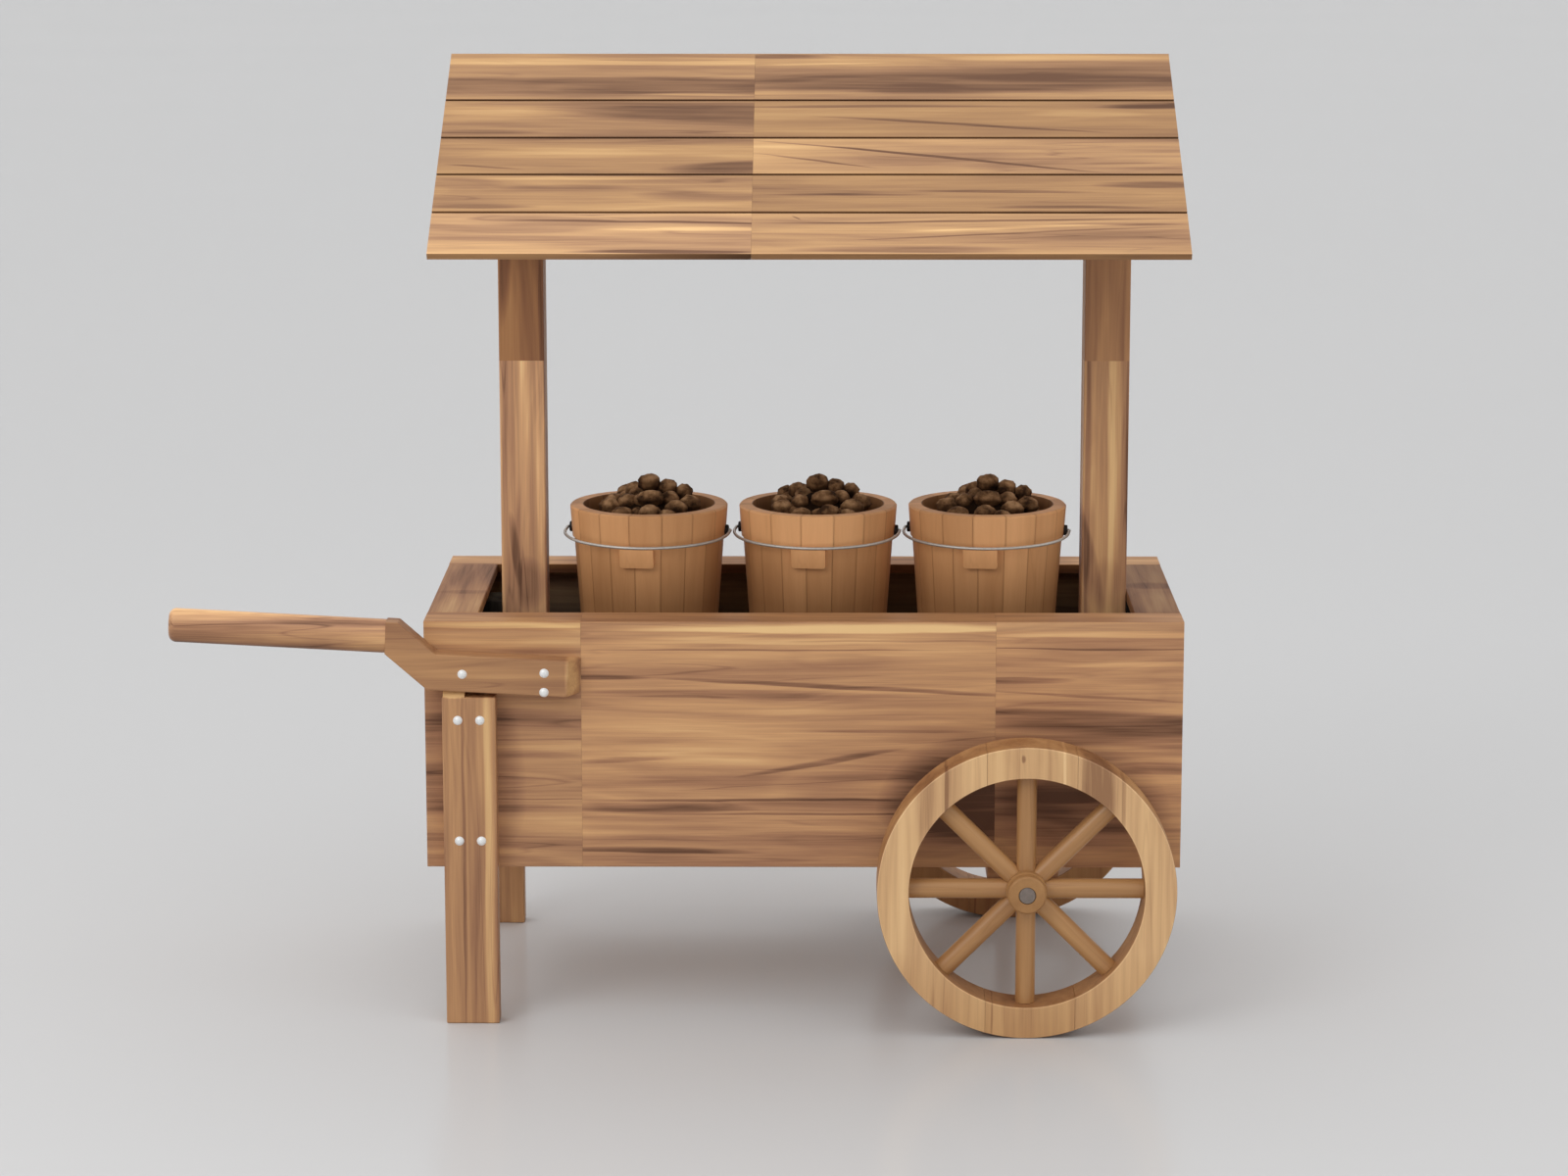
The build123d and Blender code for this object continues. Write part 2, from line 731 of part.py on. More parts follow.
def bail_front_radius():
    """Radius of the bail's front, where it runs on smoothly from the rounder corners."""
    turn = radians(bail_corner_angle)
    return (bail_half_width - bail_corner_radius * (1 - cos(turn))) / cos(turn)


def bail_tilt():
    """How far the folded bail dips below level, in radians."""
    turn = radians(bail_corner_angle)
    bows = bail_corner_radius * sin(turn) + bail_front_radius() * (1 - sin(turn))
    drop = ear_height - (rest_block_top() + rest_gap + wire_radius)
    return asin(drop / (bail_bend + bail_leg + bows))


def bucket_bottom(base):
    low, high = bottom_height, bottom_height + bottom_thickness
    edge = croze_depth - fitting_gap
    with BuildPart() as bottom:
        with BuildSketch(upright(base)):
            with BuildLine():
                Polyline(
                    (0, low), (inner_radius(low) + edge, low),
                    (inner_radius(high) + edge, high), (0, high),
                    close=True,
                )
            make_face()
        revolve(axis=Axis(base.origin, base.z_dir))
    return bottom


def bucket_ears(base):
    """Round bosses on the collar's sides, bored for the bail's pins and fitted to the collar's cone."""
    with BuildPart() as ears:
        for direction in (base.x_dir, -base.x_dir):
            seat = Plane(base.origin + base.z_dir * ear_height, z_dir=direction)
            with BuildSketch(seat.offset(bucket_base_radius)):
                Circle(ear_radius)
                Circle(wire_radius + pin_clearance, mode=Mode.SUBTRACT)
            extrude(amount=ear_reach - bucket_base_radius)
        outer = ears.edges().filter_by(GeomType.CIRCLE)
        chamfer(outer.filter_by(lambda edge: edge.radius > ear_radius / 2), 1)
        with BuildSketch(upright(base)):
            with BuildLine():
                Polyline(
                    (0, 0), (collar_cone(0), 0),
                    (collar_cone(bucket_height), bucket_height), (0, bucket_height),
                    close=True,
                )
            make_face()
        revolve(axis=Axis(base.origin, base.z_dir), mode=Mode.SUBTRACT)
    return ears


def bucket_bail(base):
    """Wire bail folded to the front: a hoop with rounder corners and both ends bent in as pivot pins."""
    forward = base.y_dir * -cos(bail_tilt()) - base.z_dir * sin(bail_tilt())
    hoop = Plane(base.origin + base.z_dir * ear_height, x_dir=base.x_dir, z_dir=base.x_dir.cross(forward))
    bend_start = bail_half_width - bail_bend
    leg_end = bail_bend + bail_leg
    front_angle = 2 * (90 - bail_corner_angle)
    with BuildPart() as bail:
        with BuildLine(hoop) as path:
            Line((bail_pin_end, 0), (bend_start, 0))
            JernArc((bend_start, 0), (1, 0), bail_bend, 90)
            Line((bail_half_width, bail_bend), (bail_half_width, leg_end))
            corner = JernArc((bail_half_width, leg_end), (0, 1), bail_corner_radius, bail_corner_angle)
            front = JernArc(corner @ 1, corner % 1, bail_front_radius(), front_angle)
            JernArc(front @ 1, front % 1, bail_corner_radius, bail_corner_angle)
            Line((-bail_half_width, leg_end), (-bail_half_width, bail_bend))
            JernArc((-bail_half_width, bail_bend), (0, -1), bail_bend, 90)
            Line((-bend_start, 0), (-bail_pin_end, 0))
        with BuildSketch(Plane(path.line @ 0, z_dir=path.line % 0)):
            Circle(wire_radius)
        sweep(path=path.line)
    return bail


def nut(base, right, back, height, length, turn):
    """One faceted nut, lying level: a six-sided waist between two smaller six-sided ends."""
    sideways = base.x_dir * right + base.y_dir * back
    seat = Plane(base.origin + sideways + base.z_dir * height, x_dir=base.x_dir, z_dir=base.z_dir)
    seat = seat.rotated((0, 0, turn))
    sections = []
    for level, scale in ((-0.5, nut_taper), (0, 1), (0.5, nut_taper)):
        corners = [
            (scale * length / 2 * cos(radians(60 * k)), scale * nut_width / 2 * sin(radians(60 * k)))
            for k in range(6)
        ]
        with BuildSketch(seat.offset(level * nut_width)) as section:
            with BuildLine():
                Polyline(*corners, close=True)
            make_face()
        sections.append(section.sketch)
    loft(sections, ruled=True)


def bucket_nuts(base):
    """The heap: a coned fill inside the staves and the nuts that lie on it."""
    low = bottom_height + bottom_thickness
    with BuildPart() as nuts:
        with BuildSketch(upright(base)):
            with BuildLine():
                Polyline(
                    (0, low), (inner_radius(low) - fitting_gap, low),
                    (inner_radius(fill_height) - fitting_gap, fill_height), (0, fill_peak),
                    close=True,
                )
            make_face()
        revolve(axis=Axis(base.origin, base.z_dir))
        for right, back, height, length, turn in nuts_in_heap:
            nut(base, right, back, height, length, turn)
    return nuts


# Buckets in a row along the middle of the deck, each turned a little to the left
for name, row in (("left", -1), ("middle", 0), ("right", 1)):
    bucket_x = body_x + bucket_middle_x + row * bucket_spacing
    turn = radians(bucket_turn)
    bucket_base = Plane((bucket_x, 0, deck_top), x_dir=(cos(turn), sin(turn), 0), z_dir=(0, 0, 1))
    save(bucket_staves(bucket_base), f"{name}_bucket_staves")
    save(bucket_collar(bucket_base), f"{name}_bucket_collar")
    save(bucket_bottom(bucket_base), f"{name}_bucket_bottom")
    save(bucket_ears(bucket_base), f"{name}_bucket_ears")
    save(bucket_bail(bucket_base), f"{name}_bucket_bail")
    save(bucket_nuts(bucket_base), f"{name}_bucket_nuts")
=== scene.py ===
import random
from math import cos, pi, radians, sin

import bmesh
import bpy
from mathutils import Matrix, Vector, noise


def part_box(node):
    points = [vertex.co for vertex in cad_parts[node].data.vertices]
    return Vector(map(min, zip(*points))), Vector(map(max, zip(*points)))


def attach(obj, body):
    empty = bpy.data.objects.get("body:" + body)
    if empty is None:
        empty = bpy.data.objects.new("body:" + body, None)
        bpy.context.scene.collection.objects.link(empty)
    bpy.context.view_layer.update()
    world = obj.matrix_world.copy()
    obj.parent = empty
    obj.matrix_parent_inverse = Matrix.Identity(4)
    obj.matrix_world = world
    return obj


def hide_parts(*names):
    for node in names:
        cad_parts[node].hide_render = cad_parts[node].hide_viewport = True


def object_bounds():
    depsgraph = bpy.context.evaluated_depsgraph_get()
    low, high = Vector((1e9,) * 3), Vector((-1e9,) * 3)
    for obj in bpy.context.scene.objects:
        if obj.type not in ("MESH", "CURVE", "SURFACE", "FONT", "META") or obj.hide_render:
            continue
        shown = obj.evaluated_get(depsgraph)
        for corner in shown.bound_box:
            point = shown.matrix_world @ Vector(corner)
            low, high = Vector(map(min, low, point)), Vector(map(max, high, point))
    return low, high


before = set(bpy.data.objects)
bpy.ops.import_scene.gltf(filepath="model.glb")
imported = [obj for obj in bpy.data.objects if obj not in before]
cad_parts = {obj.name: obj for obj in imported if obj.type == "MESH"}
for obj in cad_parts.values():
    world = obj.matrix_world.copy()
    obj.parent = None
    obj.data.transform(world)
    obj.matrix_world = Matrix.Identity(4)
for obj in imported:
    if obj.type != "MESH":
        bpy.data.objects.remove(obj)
cad_low, cad_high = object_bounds()

# Looks of the vending cart: figured wood on every board, turned wood on wheels and grip, smooth stave
# buckets, rough dark nuts heaped in them, and a pale studio. Metres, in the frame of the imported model.

# Camera at the photograph's viewing angle
CAMERA_PLACE = (0.2316, -7.224, 2.1135)
CAMERA_DOWN = 11.19
CAMERA_ROLL = 0.022
CAMERA_LEFT = 0.436
CAMERA_LENS = 97.53
SENSOR_WIDTH = 36

# Powers to which shade darkens red, green and blue: as a rule, in deep shadow, and on warm faces
SHADE_POWERS = (1.0, 1.15, 1.3)
DEEP_POWERS = (1.0, 0.85, 0.70)
WARM_POWERS = (1.0, 1.4, 1.8)

# Wood tones as linear colour, from dark streak to light streak
BODY_TONES = ((0.150, 0.068, 0.036), (0.415, 0.207, 0.110), (0.668, 0.367, 0.174), (0.920, 0.595, 0.278))
ROOF_TONES = ((0.180, 0.086, 0.046), (0.415, 0.222, 0.114), (0.640, 0.366, 0.166), (0.890, 0.560, 0.254))
RIM_TONES = ((0.345, 0.176, 0.086), (0.630, 0.366, 0.180), (0.810, 0.510, 0.250), (0.930, 0.625, 0.325))
TURNED_TONES = ((0.320, 0.156, 0.058), (0.430, 0.217, 0.084), (0.525, 0.279, 0.111), (0.635, 0.362, 0.155))
BUCKET_TONES = ((0.500, 0.234, 0.094), (0.650, 0.320, 0.134), (0.760, 0.394, 0.174), (0.850, 0.468, 0.220))

# Layers of the wood's figure: length and width of their marks, and detail
SWIRL_LAYER = (0.75, 0.11, 2)
STREAK_LAYER = (0.26, 0.010, 3)
BROAD_LAYER = (0.7, 0.06, 2)
FIBRE_LAYER = (0.10, 0.0022, 2)
LINE_LAYER = (0.7, 0.030, 1)

# How the layers make up the wood's tone, relief (depth, strength) and roughness (on dark, on light)
RING_WIDTH = 0.045
SWIRL_RINGS = 5.0
NOISE_RANGE = (0.34, 0.66)
BAND_WEIGHT = 0.14
STREAK_WEIGHT = 0.11
BROAD_WEIGHT = 0.60
FIBRE_WEIGHT = 0.15
TONE_SPREAD = 0.24
TONE_RANGE = (0.08, 0.92)
LINE_WIDTH = 0.016
LINE_TONES = (0.40, 0.62)
LINE_DARKNESS = 0.20
GRAIN_RELIEF = (0.0004, 0.4)
GLOSS_RANGE = (0.08, -0.05)

# Butted lengths: how far the figure shifts from one to the next, along the grain and across it
LENGTH_SHIFT = 3.7
CROSS_SHIFT = 0.37

# Placed streaks: how they wander across the grain, and how much sharper one of their edges is
BODY_WANDER = 0.009
ROOF_WANDER = 0.005
WANDER_SCALE = (4, 25, 25)
SHARP_EDGE = 2.2
STREAK_CORE = 0.25

# Places that the streaks and seams are set out from
body_low, body_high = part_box("back_panel")
body_middle = (body_low.x + body_high.x) / 2
FRONT_SEAMS = (-0.372, 0.321)
ROOF_SEAM = (-0.083,)
WHEEL_GLUE_LINES = (0.303, 0.453)

# Streaks that show in the photograph, and patches of painted shade and light where marked, for each butted
# length of a board: along and across the grain, half length, half width, slope, change of tone. The lower
# edge is the sharp one, or the upper one where the half width is negative.
FRONT_STREAKS_AND_SHADOWS = (
    (
        (-0.50, 0.676, 0.24, 0.009, 0, 0.36), (-0.50, 0.652, 0.26, 0.022, 0, 0.20),
        (-0.50, 0.641, 0.20, 0.004, 0, 0.12), (-0.45, 0.483, 0.16, 0.003, 0, -0.18),
        (-0.46, 0.463, 0.14, -0.014, 0, -0.08), (-0.43, 0.430, 0.14, 0.030, 0, 0.14),
        (-0.47, 0.400, 0.12, 0.008, 0, 0.10), (-0.45, 0.381, 0.20, 0.002, 0, -0.25),
        (-0.50, 0.362, 0.22, 0.010, 0, -0.20), (-0.45, 0.300, 0.14, 0.008, 0.02, -0.10),
        # Painted shade beside the leg: a broad patch by its left side, and its shadow just right of it
        (-0.60, 0.420, 0.06, 0.200, 0, -0.20), (-0.505, 0.380, 0.04, 0.180, 0, -0.14),
    ),
    (
        (0.05, 0.671, 0.46, 0.013, 0, 0.48), (-0.10, 0.650, 0.36, 0.010, 0, 0.26),
        (0.00, 0.636, 0.50, 0.050, 0, 0.10),
        (-0.05, 0.6365, 0.34, 0.0025, 0, -0.36), (0.16, 0.652, 0.20, 0.003, 0, -0.24),
        (-0.34, 0.588, 0.09, 0.007, 0, -0.34), (0.06, 0.573, 0.34, 0.007, -0.05, -0.42),
        (-0.15, 0.562, 0.28, -0.018, 0, -0.24), (-0.20, 0.556, 0.10, 0.004, 0, -0.22),
        (0.10, 0.556, 0.20, -0.014, -0.03, -0.12), (0.02, 0.530, 0.25, 0.008, 0, 0.14),
        (0.14, 0.497, 0.17, 0.005, 0, -0.24), (-0.30, 0.447, 0.09, 0.008, 0.05, -0.24),
        (-0.16, 0.455, 0.16, 0.030, 0, 0.14), (0.03, 0.443, 0.15, 0.008, 0.17, -0.34),
        (-0.25, 0.363, 0.18, 0.016, 0, -0.36), (-0.05, 0.379, 0.34, 0.004, 0, -0.40),
        (-0.03, 0.355, 0.30, 0.004, 0, -0.34), (-0.26, 0.290, 0.20, 0.009, -0.01, -0.38),
        # The first: the near wheel's painted shadow on the panel behind its spokes
        (0.28, 0.360, 0.16, 0.130, 0, -0.54), (0.00, 0.366, 0.34, 0.016, 0, -0.18),
    ),
    (
        (0.52, 0.661, 0.24, 0.008, 0, 0.26), (0.47, 0.6385, 0.24, 0.0025, 0, -0.32),
        (0.50, 0.612, 0.18, 0.010, 0, 0.16), (0.35, 0.588, 0.11, -0.010, 0, -0.34),
        (0.47, 0.558, 0.20, 0.004, -0.06, -0.24), (0.50, 0.520, 0.32, -0.032, -0.03, -0.41),
        (0.50, 0.466, 0.14, 0.010, 0, 0.20), (0.60, 0.428, 0.09, 0.012, 0, -0.28),
        # The near wheel's painted shadow on the panel behind its spokes and under its rim
        (0.45, 0.350, 0.17, 0.130, 0, -0.34), (0.40, 0.385, 0.13, 0.035, 0, -0.22),
    ),
)
ROOF_STREAKS = (
    (
        (
            (-0.22, 1.368, 0.27, 0.0025, -0.012, -0.46), (-0.16, 1.359, 0.18, 0.0045, 0, 0.38),
            (-0.42, 1.371, 0.13, 0.0070, -0.01, -0.26), (-0.22, 1.329, 0.17, 0.0040, 0, -0.55),
            (-0.45, 1.346, 0.22, 0.0060, 0, -0.12),
        ),
        (
            (0.27, 1.370, 0.37, 0.0020, 0.010, -0.42), (0.50, 1.366, 0.12, 0.0025, 0, -0.30),
            (0.10, 1.357, 0.24, 0.0090, 0, 0.16), (0.43, 1.352, 0.24, -0.0110, 0.03, -0.16),
            (0.34, 1.354, 0.28, 0.0020, 0.035, -0.32),
            (0.34, 1.361, 0.20, 0.0030, 0.03, 0.26), (-0.012, 1.374, 0.008, 0.0015, -0.35, -0.45),
            (0.16, 1.331, 0.20, 0.0070, 0, -0.30),
        ),
    ),
    (
        (
            (-0.39, 1.415, 0.12, 0.0050, 0, -0.22), (-0.15, 1.406, 0.13, -0.0120, 0, -0.26),
            (-0.53, 1.389, 0.11, 0.0045, 0, -0.36), (-0.35, 1.427, 0.18, 0.0040, 0, 0.30),
            (-0.56, 1.418, 0.08, 0.0140, 0, -0.16),
        ),
        (
            (0.06, 1.405, 0.16, 0.0025, 0, -0.28), (0.33, 1.409, 0.17, 0.0035, -0.01, -0.36),
            (0.57, 1.418, 0.11, 0.0070, 0, -0.40), (0.43, 1.388, 0.15, 0.0035, 0, -0.34),
        ),
    ),
    (
        (
            (-0.10, 1.446, 0.14, -0.0160, 0.04, -0.36), (-0.12, 1.475, 0.15, 0.0070, 0, -0.18),
            (-0.52, 1.443, 0.07, 0.0020, -0.05, -0.32), (-0.42, 1.460, 0.20, 0.0120, 0, 0.14),
        ),
        (
            (0.20, 1.458, 0.32, 0.0025, -0.080, -0.52), (0.02, 1.452, 0.11, 0.0020, -0.10, -0.36),
            (0.52, 1.448, 0.08, 0.0020, 0, -0.20), (0.05, 1.470, 0.20, 0.0080, 0, 0.14),
        ),
    ),
    (
        (
            (-0.10, 1.511, 0.37, 0.0260, -0.030, -0.43), (-0.53, 1.491, 0.11, 0.0045, 0, -0.26),
            (-0.50, 1.518, 0.14, 0.0120, 0, 0.14),
        ),
        (
            (0.13, 1.528, 0.30, 0.0030, 0, -0.34), (0.26, 1.503, 0.27, 0.0030, -0.05, -0.38),
            (0.47, 1.517, 0.11, 0.0080, 0, 0.18), (0.58, 1.528, 0.10, 0.0070, 0, -0.36),
        ),
    ),
    (
        (
            (-0.34, 1.562, 0.62, -0.0240, 0, -0.46), (-0.34, 1.592, 0.42, 0.0100, 0, 0.32),
            (-0.25, 1.596, 0.17, 0.0030, 0, -0.30), (-0.16, 1.545, 0.12, 0.0030, 0, 0.34),
        ),
        (
            (0.32, 1.562, 0.70, 0.0340, 0.008, -0.50), (-0.01, 1.548, 0.16, 0.0060, 0, 0.22),
            (0.46, 1.598, 0.24, 0.0080, 0, 0.22), (-0.04, 1.600, 0.10, 0.0060, 0, -0.36),
            (0.02, 1.590, 0.13, 0.0025, 0.02, 0.24),
        ),
    ),
)
LEG_STREAKS_AND_LIT_HEEL = (
    (
        (0.28, -0.569, 0.42, 0.005, 0, -0.28), (0.30, -0.556, 0.42, 0.014, 0, -0.10),
        (0.28, -0.529, 0.50, 0.014, 0, 0.34), (0.36, -0.590, 0.30, 0.008, 0, 0.10),
        # Painted light on the leg's heel, where its top shows under the handle bar
        (0.569, -0.585, 0.008, 0.060, 0, 0.70),
    ),
)
HANDLE_STREAKS_AND_LIT_BEVEL = (
    # Painted light on the bevel at the bar's right end, then a light streak
    ((-0.386, 0.590, 0.012, 0.080, 0, 0.36), (-0.52, 0.600, 0.16, 0.008, 0, 0.10)),
)
LEFT_POST_STREAKS = (
    (
        (0.93, -0.483, 0.28, 0.014, 0, 0.26), (0.96, -0.458, 0.18, 0.004, 0, 0.18),
        (0.90, -0.514, 0.40, 0.008, 0, -0.20), (0.90, -0.445, 0.40, 0.004, 0, -0.26),
        (0.76, -0.500, 0.07, 0.012, -0.10, -0.30), (0.70, -0.480, 0.05, 0.040, 0, -0.24),
    ),
)
LEFT_POST_TOP_STREAKS = (
    ((1.26, -0.512, 0.12, 0.014, 0.03, -0.40), (1.15, -0.450, 0.16, 0.006, 0, -0.20)),
)
RIGHT_POST_STREAKS = (
    (
        (0.93, 0.527, 0.28, 0.018, 0, 0.30), (0.88, 0.484, 0.40, 0.008, 0, -0.30),
        (0.90, 0.553, 0.30, 0.004, 0, -0.22), (0.70, 0.515, 0.05, 0.040, 0, -0.14),
        (0.76, 0.488, 0.12, -0.028, -0.24, -0.26),
    ),
)
RIM_LEFT_STREAKS = (
    (
        (-0.20, -0.590, 0.15, 0.090, 0, 0.26), (0.13, -0.590, 0.16, 0.090, 0, -0.22),
        (-0.04, -0.590, 0.02, 0.090, 0, -0.16),
    ),
)
RIM_RIGHT_STREAKS = (
    ((0.02, 0.595, 0.035, 0.090, 0, -0.28), (-0.13, 0.595, 0.10, 0.090, 0, 0.18)),
)
RIM_BACK_STREAKS = (
    ((-0.56, 0.685, 0.16, 0.030, 0, 0.24), (0.57, 0.685, 0.14, 0.030, 0, 0.16)),
)
WHEEL_STREAKS = (
    (
        (0.42, 0.236, 0.08, 0.005, 0, -0.36), (0.42, 0.195, 0.12, 0.030, 0, -0.24),
        (0.25, 0.161, 0.16, 0.015, 0, 0.16), (0.45, 0.270, 0.08, 0.020, 0, 0.12),
    ),
    (
        (0.45, 0.431, 0.08, 0.005, 0, 0.44), (0.4785, 0.361, 0.008, 0.006, 0, -0.40),
        (0.45, 0.405, 0.08, 0.006, 0, -0.14), (0.042, 0.341, 0.06, 0.026, 0, -0.12),
        (0.030, 0.314, 0.05, 0.003, 0, -0.40),
    ),
    (
        (0.43, 0.475, 0.13, 0.050, 0, -0.42), (0.42, 0.527, 0.10, 0.006, 0, -0.24),
        (0.36, 0.560, 0.12, 0.020, 0, 0.16), (0.25, 0.585, 0.14, 0.015, 0, 0.10),
    ),
)
NO_STREAKS = ((),)

# Shades of butted lengths, from left to right, and of the roof's rows from eave to ridge
FRONT_SHADES = (0.97, 1.04, 1.08)
ROW_SHADES = ((1.28, 1.09), (0.93, 0.84), (0.87, 1.06), (0.91, 0.79), (0.97, 0.95))
WHEEL_SHADES = (1.04, 0.99, 1.05)

# Seeds of the roof's figure: first, from row to row, and from slope to slope
ROOF_SEED = 22
ROW_SEED_STEP = 5.3
SLOPE_SEED_STEP = 31

# Each post: streaks and shade of its lower length, then of its upper one, which is darker wood with
# painted shade from the roof over it
POST_WOODS = {
    "left": (LEFT_POST_STREAKS, 1.28, LEFT_POST_TOP_STREAKS, 0.70),
    "right": (RIGHT_POST_STREAKS, 0.97, NO_STREAKS, 0.86),
}

# How near to a face a point counts as lying on it
SKIN_DEPTH = 0.0005

# Painted shade inside the box, from the deck up to the rim
_, rim_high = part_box("rim_front")
_, deck_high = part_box("display_deck")
RIM_TOP = rim_high.z
DECK_TOP = deck_high.z
INSIDE_SHADE_LOW = 0.12
INSIDE_SHADE_HIGH = 0.62

# Painted shade on the edges of the roof boards, and on the eave a painted highlight along its arris over an
# edge in painted shade that turns black left of the seam
EDGE_SHADE = 0.30
EDGE_TILT = (0.65, 0.75)
eave_low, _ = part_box("roof_front_board_1")
EAVE_EDGE_HEIGHT = 0.0106
EAVE_TOP = eave_low.z + EAVE_EDGE_HEIGHT
EAVE_ARRIS = 0.0008
EAVE_ARRIS_HIGHLIGHT = 0.2
EAVE_EDGE_DEPTH = 0.0006
EAVE_EDGE_SHADE = -0.5
EAVE_BLACK_LENGTH = 0.24
EAVE_BLACK = -0.36

# Grip: painted shade that darkens it towards its underside
UNDERSIDE_TILT = (-0.9, 0.4)
UNDERSIDE_SHADE = 0.50

# Wheel rims: light arrises of edge wear and painted highlight, and painted shade on the mottled tread, the
# inner side, the foot, and the face to the box
WHEEL_INNER_RADIUS = 0.196
SPOKE_COUNT = 8
SPOKE_SHIFT = 5
ARRIS_FROM = 0.003
ARRIS_TO = 0.001
ARRIS_LIGHT = 1.15
TREAD_SCALE = 22
TREAD_NOISE = (0.36, 0.64)
TREAD_DARK = (-0.59, -0.47)
INNER_SIDE_DARK = -0.53
WHEEL_FOOT_SHADE = 0.80
HIDDEN_FACE_TILT = (0.4, 0.6)
HIDDEN_FACE_SHADE = 0.60

# Buckets: their turn, painted shade that darkens them downwards (two heights, two shades), staves, collar
# and rest block
BUCKET_SIDES = ("left", "middle", "right")
BUCKET_SEED = 121
BUCKET_SEED_STEP = 31
BUCKET_TURN = -7
BUCKET_TAPER = 0.0722
BUCKET_INNER_FOOT = 0.0955
BUCKET_SHADES = (1.02, 1.02, 1.13)
BUCKET_OUTSIDE_SHADE = (0.10, 0.20, 0.58, 1)
BUCKET_INSIDE_SHADE = (0.20, 0.26, 0.10, 0.50)
STAVE_COUNT = 18
STAVE_FIRST_SEAM = 8
STAVE_SPREAD = 0.12
STAVE_SEAM_SHARE = 0.055
STAVE_SEAM_SHADE = 0.80
STAVE_SHIFT = 9
NO_BLOCK = -1.0
COLLAR_COUNT = 15
COLLAR_FIRST_SEAM = 0.5
COLLAR_SHADE = 1.12
COLLAR_SPREAD = 0.15
COLLAR_BOTTOM = 0.2055
BLOCK_TONE = 0.72

# Metals: their colours, and the noise, relief and roughness of their mottle
STEEL_COLOUR = (0.30, 0.25, 0.22)
SCREW_COLOUR = (0.93, 0.94, 0.93)
IRON_COLOUR = (0.020, 0.019, 0.019)
WIRE_COLOUR = (0.62, 0.60, 0.56)
METAL_SCALE = 180
METAL_NOISE = (0.3, 0.7)
METAL_RELIEF = (0.0002, 0.3)
METAL_ROUGHNESS = (-0.06, 0.08)

# Nut shells, which pale from painted shade where they face down to painted light where they face up,
# and the fill between the nuts, painted near black as shade
SHELL_TONES = ((0.045, 0.021, 0.010), (0.205, 0.105, 0.048), (0.400, 0.228, 0.112))
SHELL_PATCH_SCALE = 48
SHELL_SCURF_SCALE = 420
SHELL_NOISE = (0.36, 0.64)
SHELL_TILT = (-0.3, 0.9)
SHELL_LIGHT_AND_SHADE = (0.20, 1.34)
SHELL_RELIEF = (0.0008, 0.4)
GAP_TONES = ((0.010, 0.005, 0.003), (0.030, 0.016, 0.009))
GAP_SCALE = 90
GAP_NOISE = (0.3, 0.7)

# Nuts: to the right, to the back, above the deck, length, turn
NUT_WIDTH = 0.032
NUTS = [
    (0.000, 0.006, 0.294, 0.040, 10), (0.030, 0.014, 0.284, 0.040, 60), (0.058, 0.020, 0.275, 0.032, 0),
    (0.008, -0.034, 0.273, 0.048, 5), (-0.034, -0.024, 0.264, 0.038, 70), (-0.064, -0.030, 0.256, 0.040, -15),
    (0.072, -0.006, 0.260, 0.040, 20), (0.054, -0.044, 0.258, 0.042, -10), (0.012, -0.068, 0.253, 0.040, 15),
    (0.044, -0.076, 0.247, 0.034, -30), (-0.036, -0.070, 0.249, 0.040, 25), (0.038, -0.012, 0.268, 0.034, 45),
    (-0.030, 0.040, 0.274, 0.038, -20), (-0.050, 0.062, 0.264, 0.036, 30), (-0.064, 0.015, 0.257, 0.038, 80),
    (-0.020, 0.026, 0.267, 0.044, 40), (-0.044, 0.048, 0.257, 0.040, 0), (0.058, 0.022, 0.257, 0.042, 30),
    (0.010, 0.048, 0.268, 0.042, 0), (0.044, 0.058, 0.255, 0.040, 40), (-0.005, 0.080, 0.248, 0.038, 10),
]
HEAP_TURNS = (0, 12, -8)
HEAP_SEED = 11

# A nut's lie, and the wrinkles and the crease of its skin
NUT_DETAIL = 3
NUT_TILT = 25
NUT_TILT_STEP = 37
NUT_WRINKLE = 0.16
NUT_WRINKLE_SCALE = 2.1
NUT_FRACTAL = (0.9, 2.1, 4)
NUT_SEED_STEP = (7.3, 3.1, 0)
NUT_CREASE = 0.06
NUT_CREASE_WIDTH = 0.16

# Packed nuts under the ones that show, and rings of small nuts in the gaps: radius and count
FILL_RADIUS = 0.1102
FILL_WALL = 0.226
FILL_PEAK = 0.284
FILL_LOW = 0.028
FILL_LOW_RADIUS = 0.096
FILL_SIDES = 48
FILLER_RINGS = ((0.026, 4), (0.056, 8), (0.088, 12))
FILLER_OFF = 0.25
FILLER_HALF = (0.0115, 0.0150)
FILLER_SINK = (-0.012, -0.004)
FILLER_STRETCH = (1.0, 1.35)
FILLER_DETAIL = 2
FILLER_FIRST_SEED = 40
FILLER_SEED_STEP = 20

# Studio floor that sweeps up far away on every side
FLOOR_RADIUS = 34.0
SWEEP_RADIUS = 14.0
FLOOR_DROP = 0.0004
FLOOR_SIDES = 96
SWEEP_STEPS = 16
FLOOR_TONES = ((0.664, 0.664, 0.667), (0.672, 0.672, 0.675))

# Studio light: a pale sky that is brighter overhead, and a weak large key from the front left
SKY_LOW = 0.50
SKY_HIGH = 1.18
KEY_PLACE = (-3.8, -5.4, 4.8)
KEY_SIZE = 3.6
KEY_POWER = 100


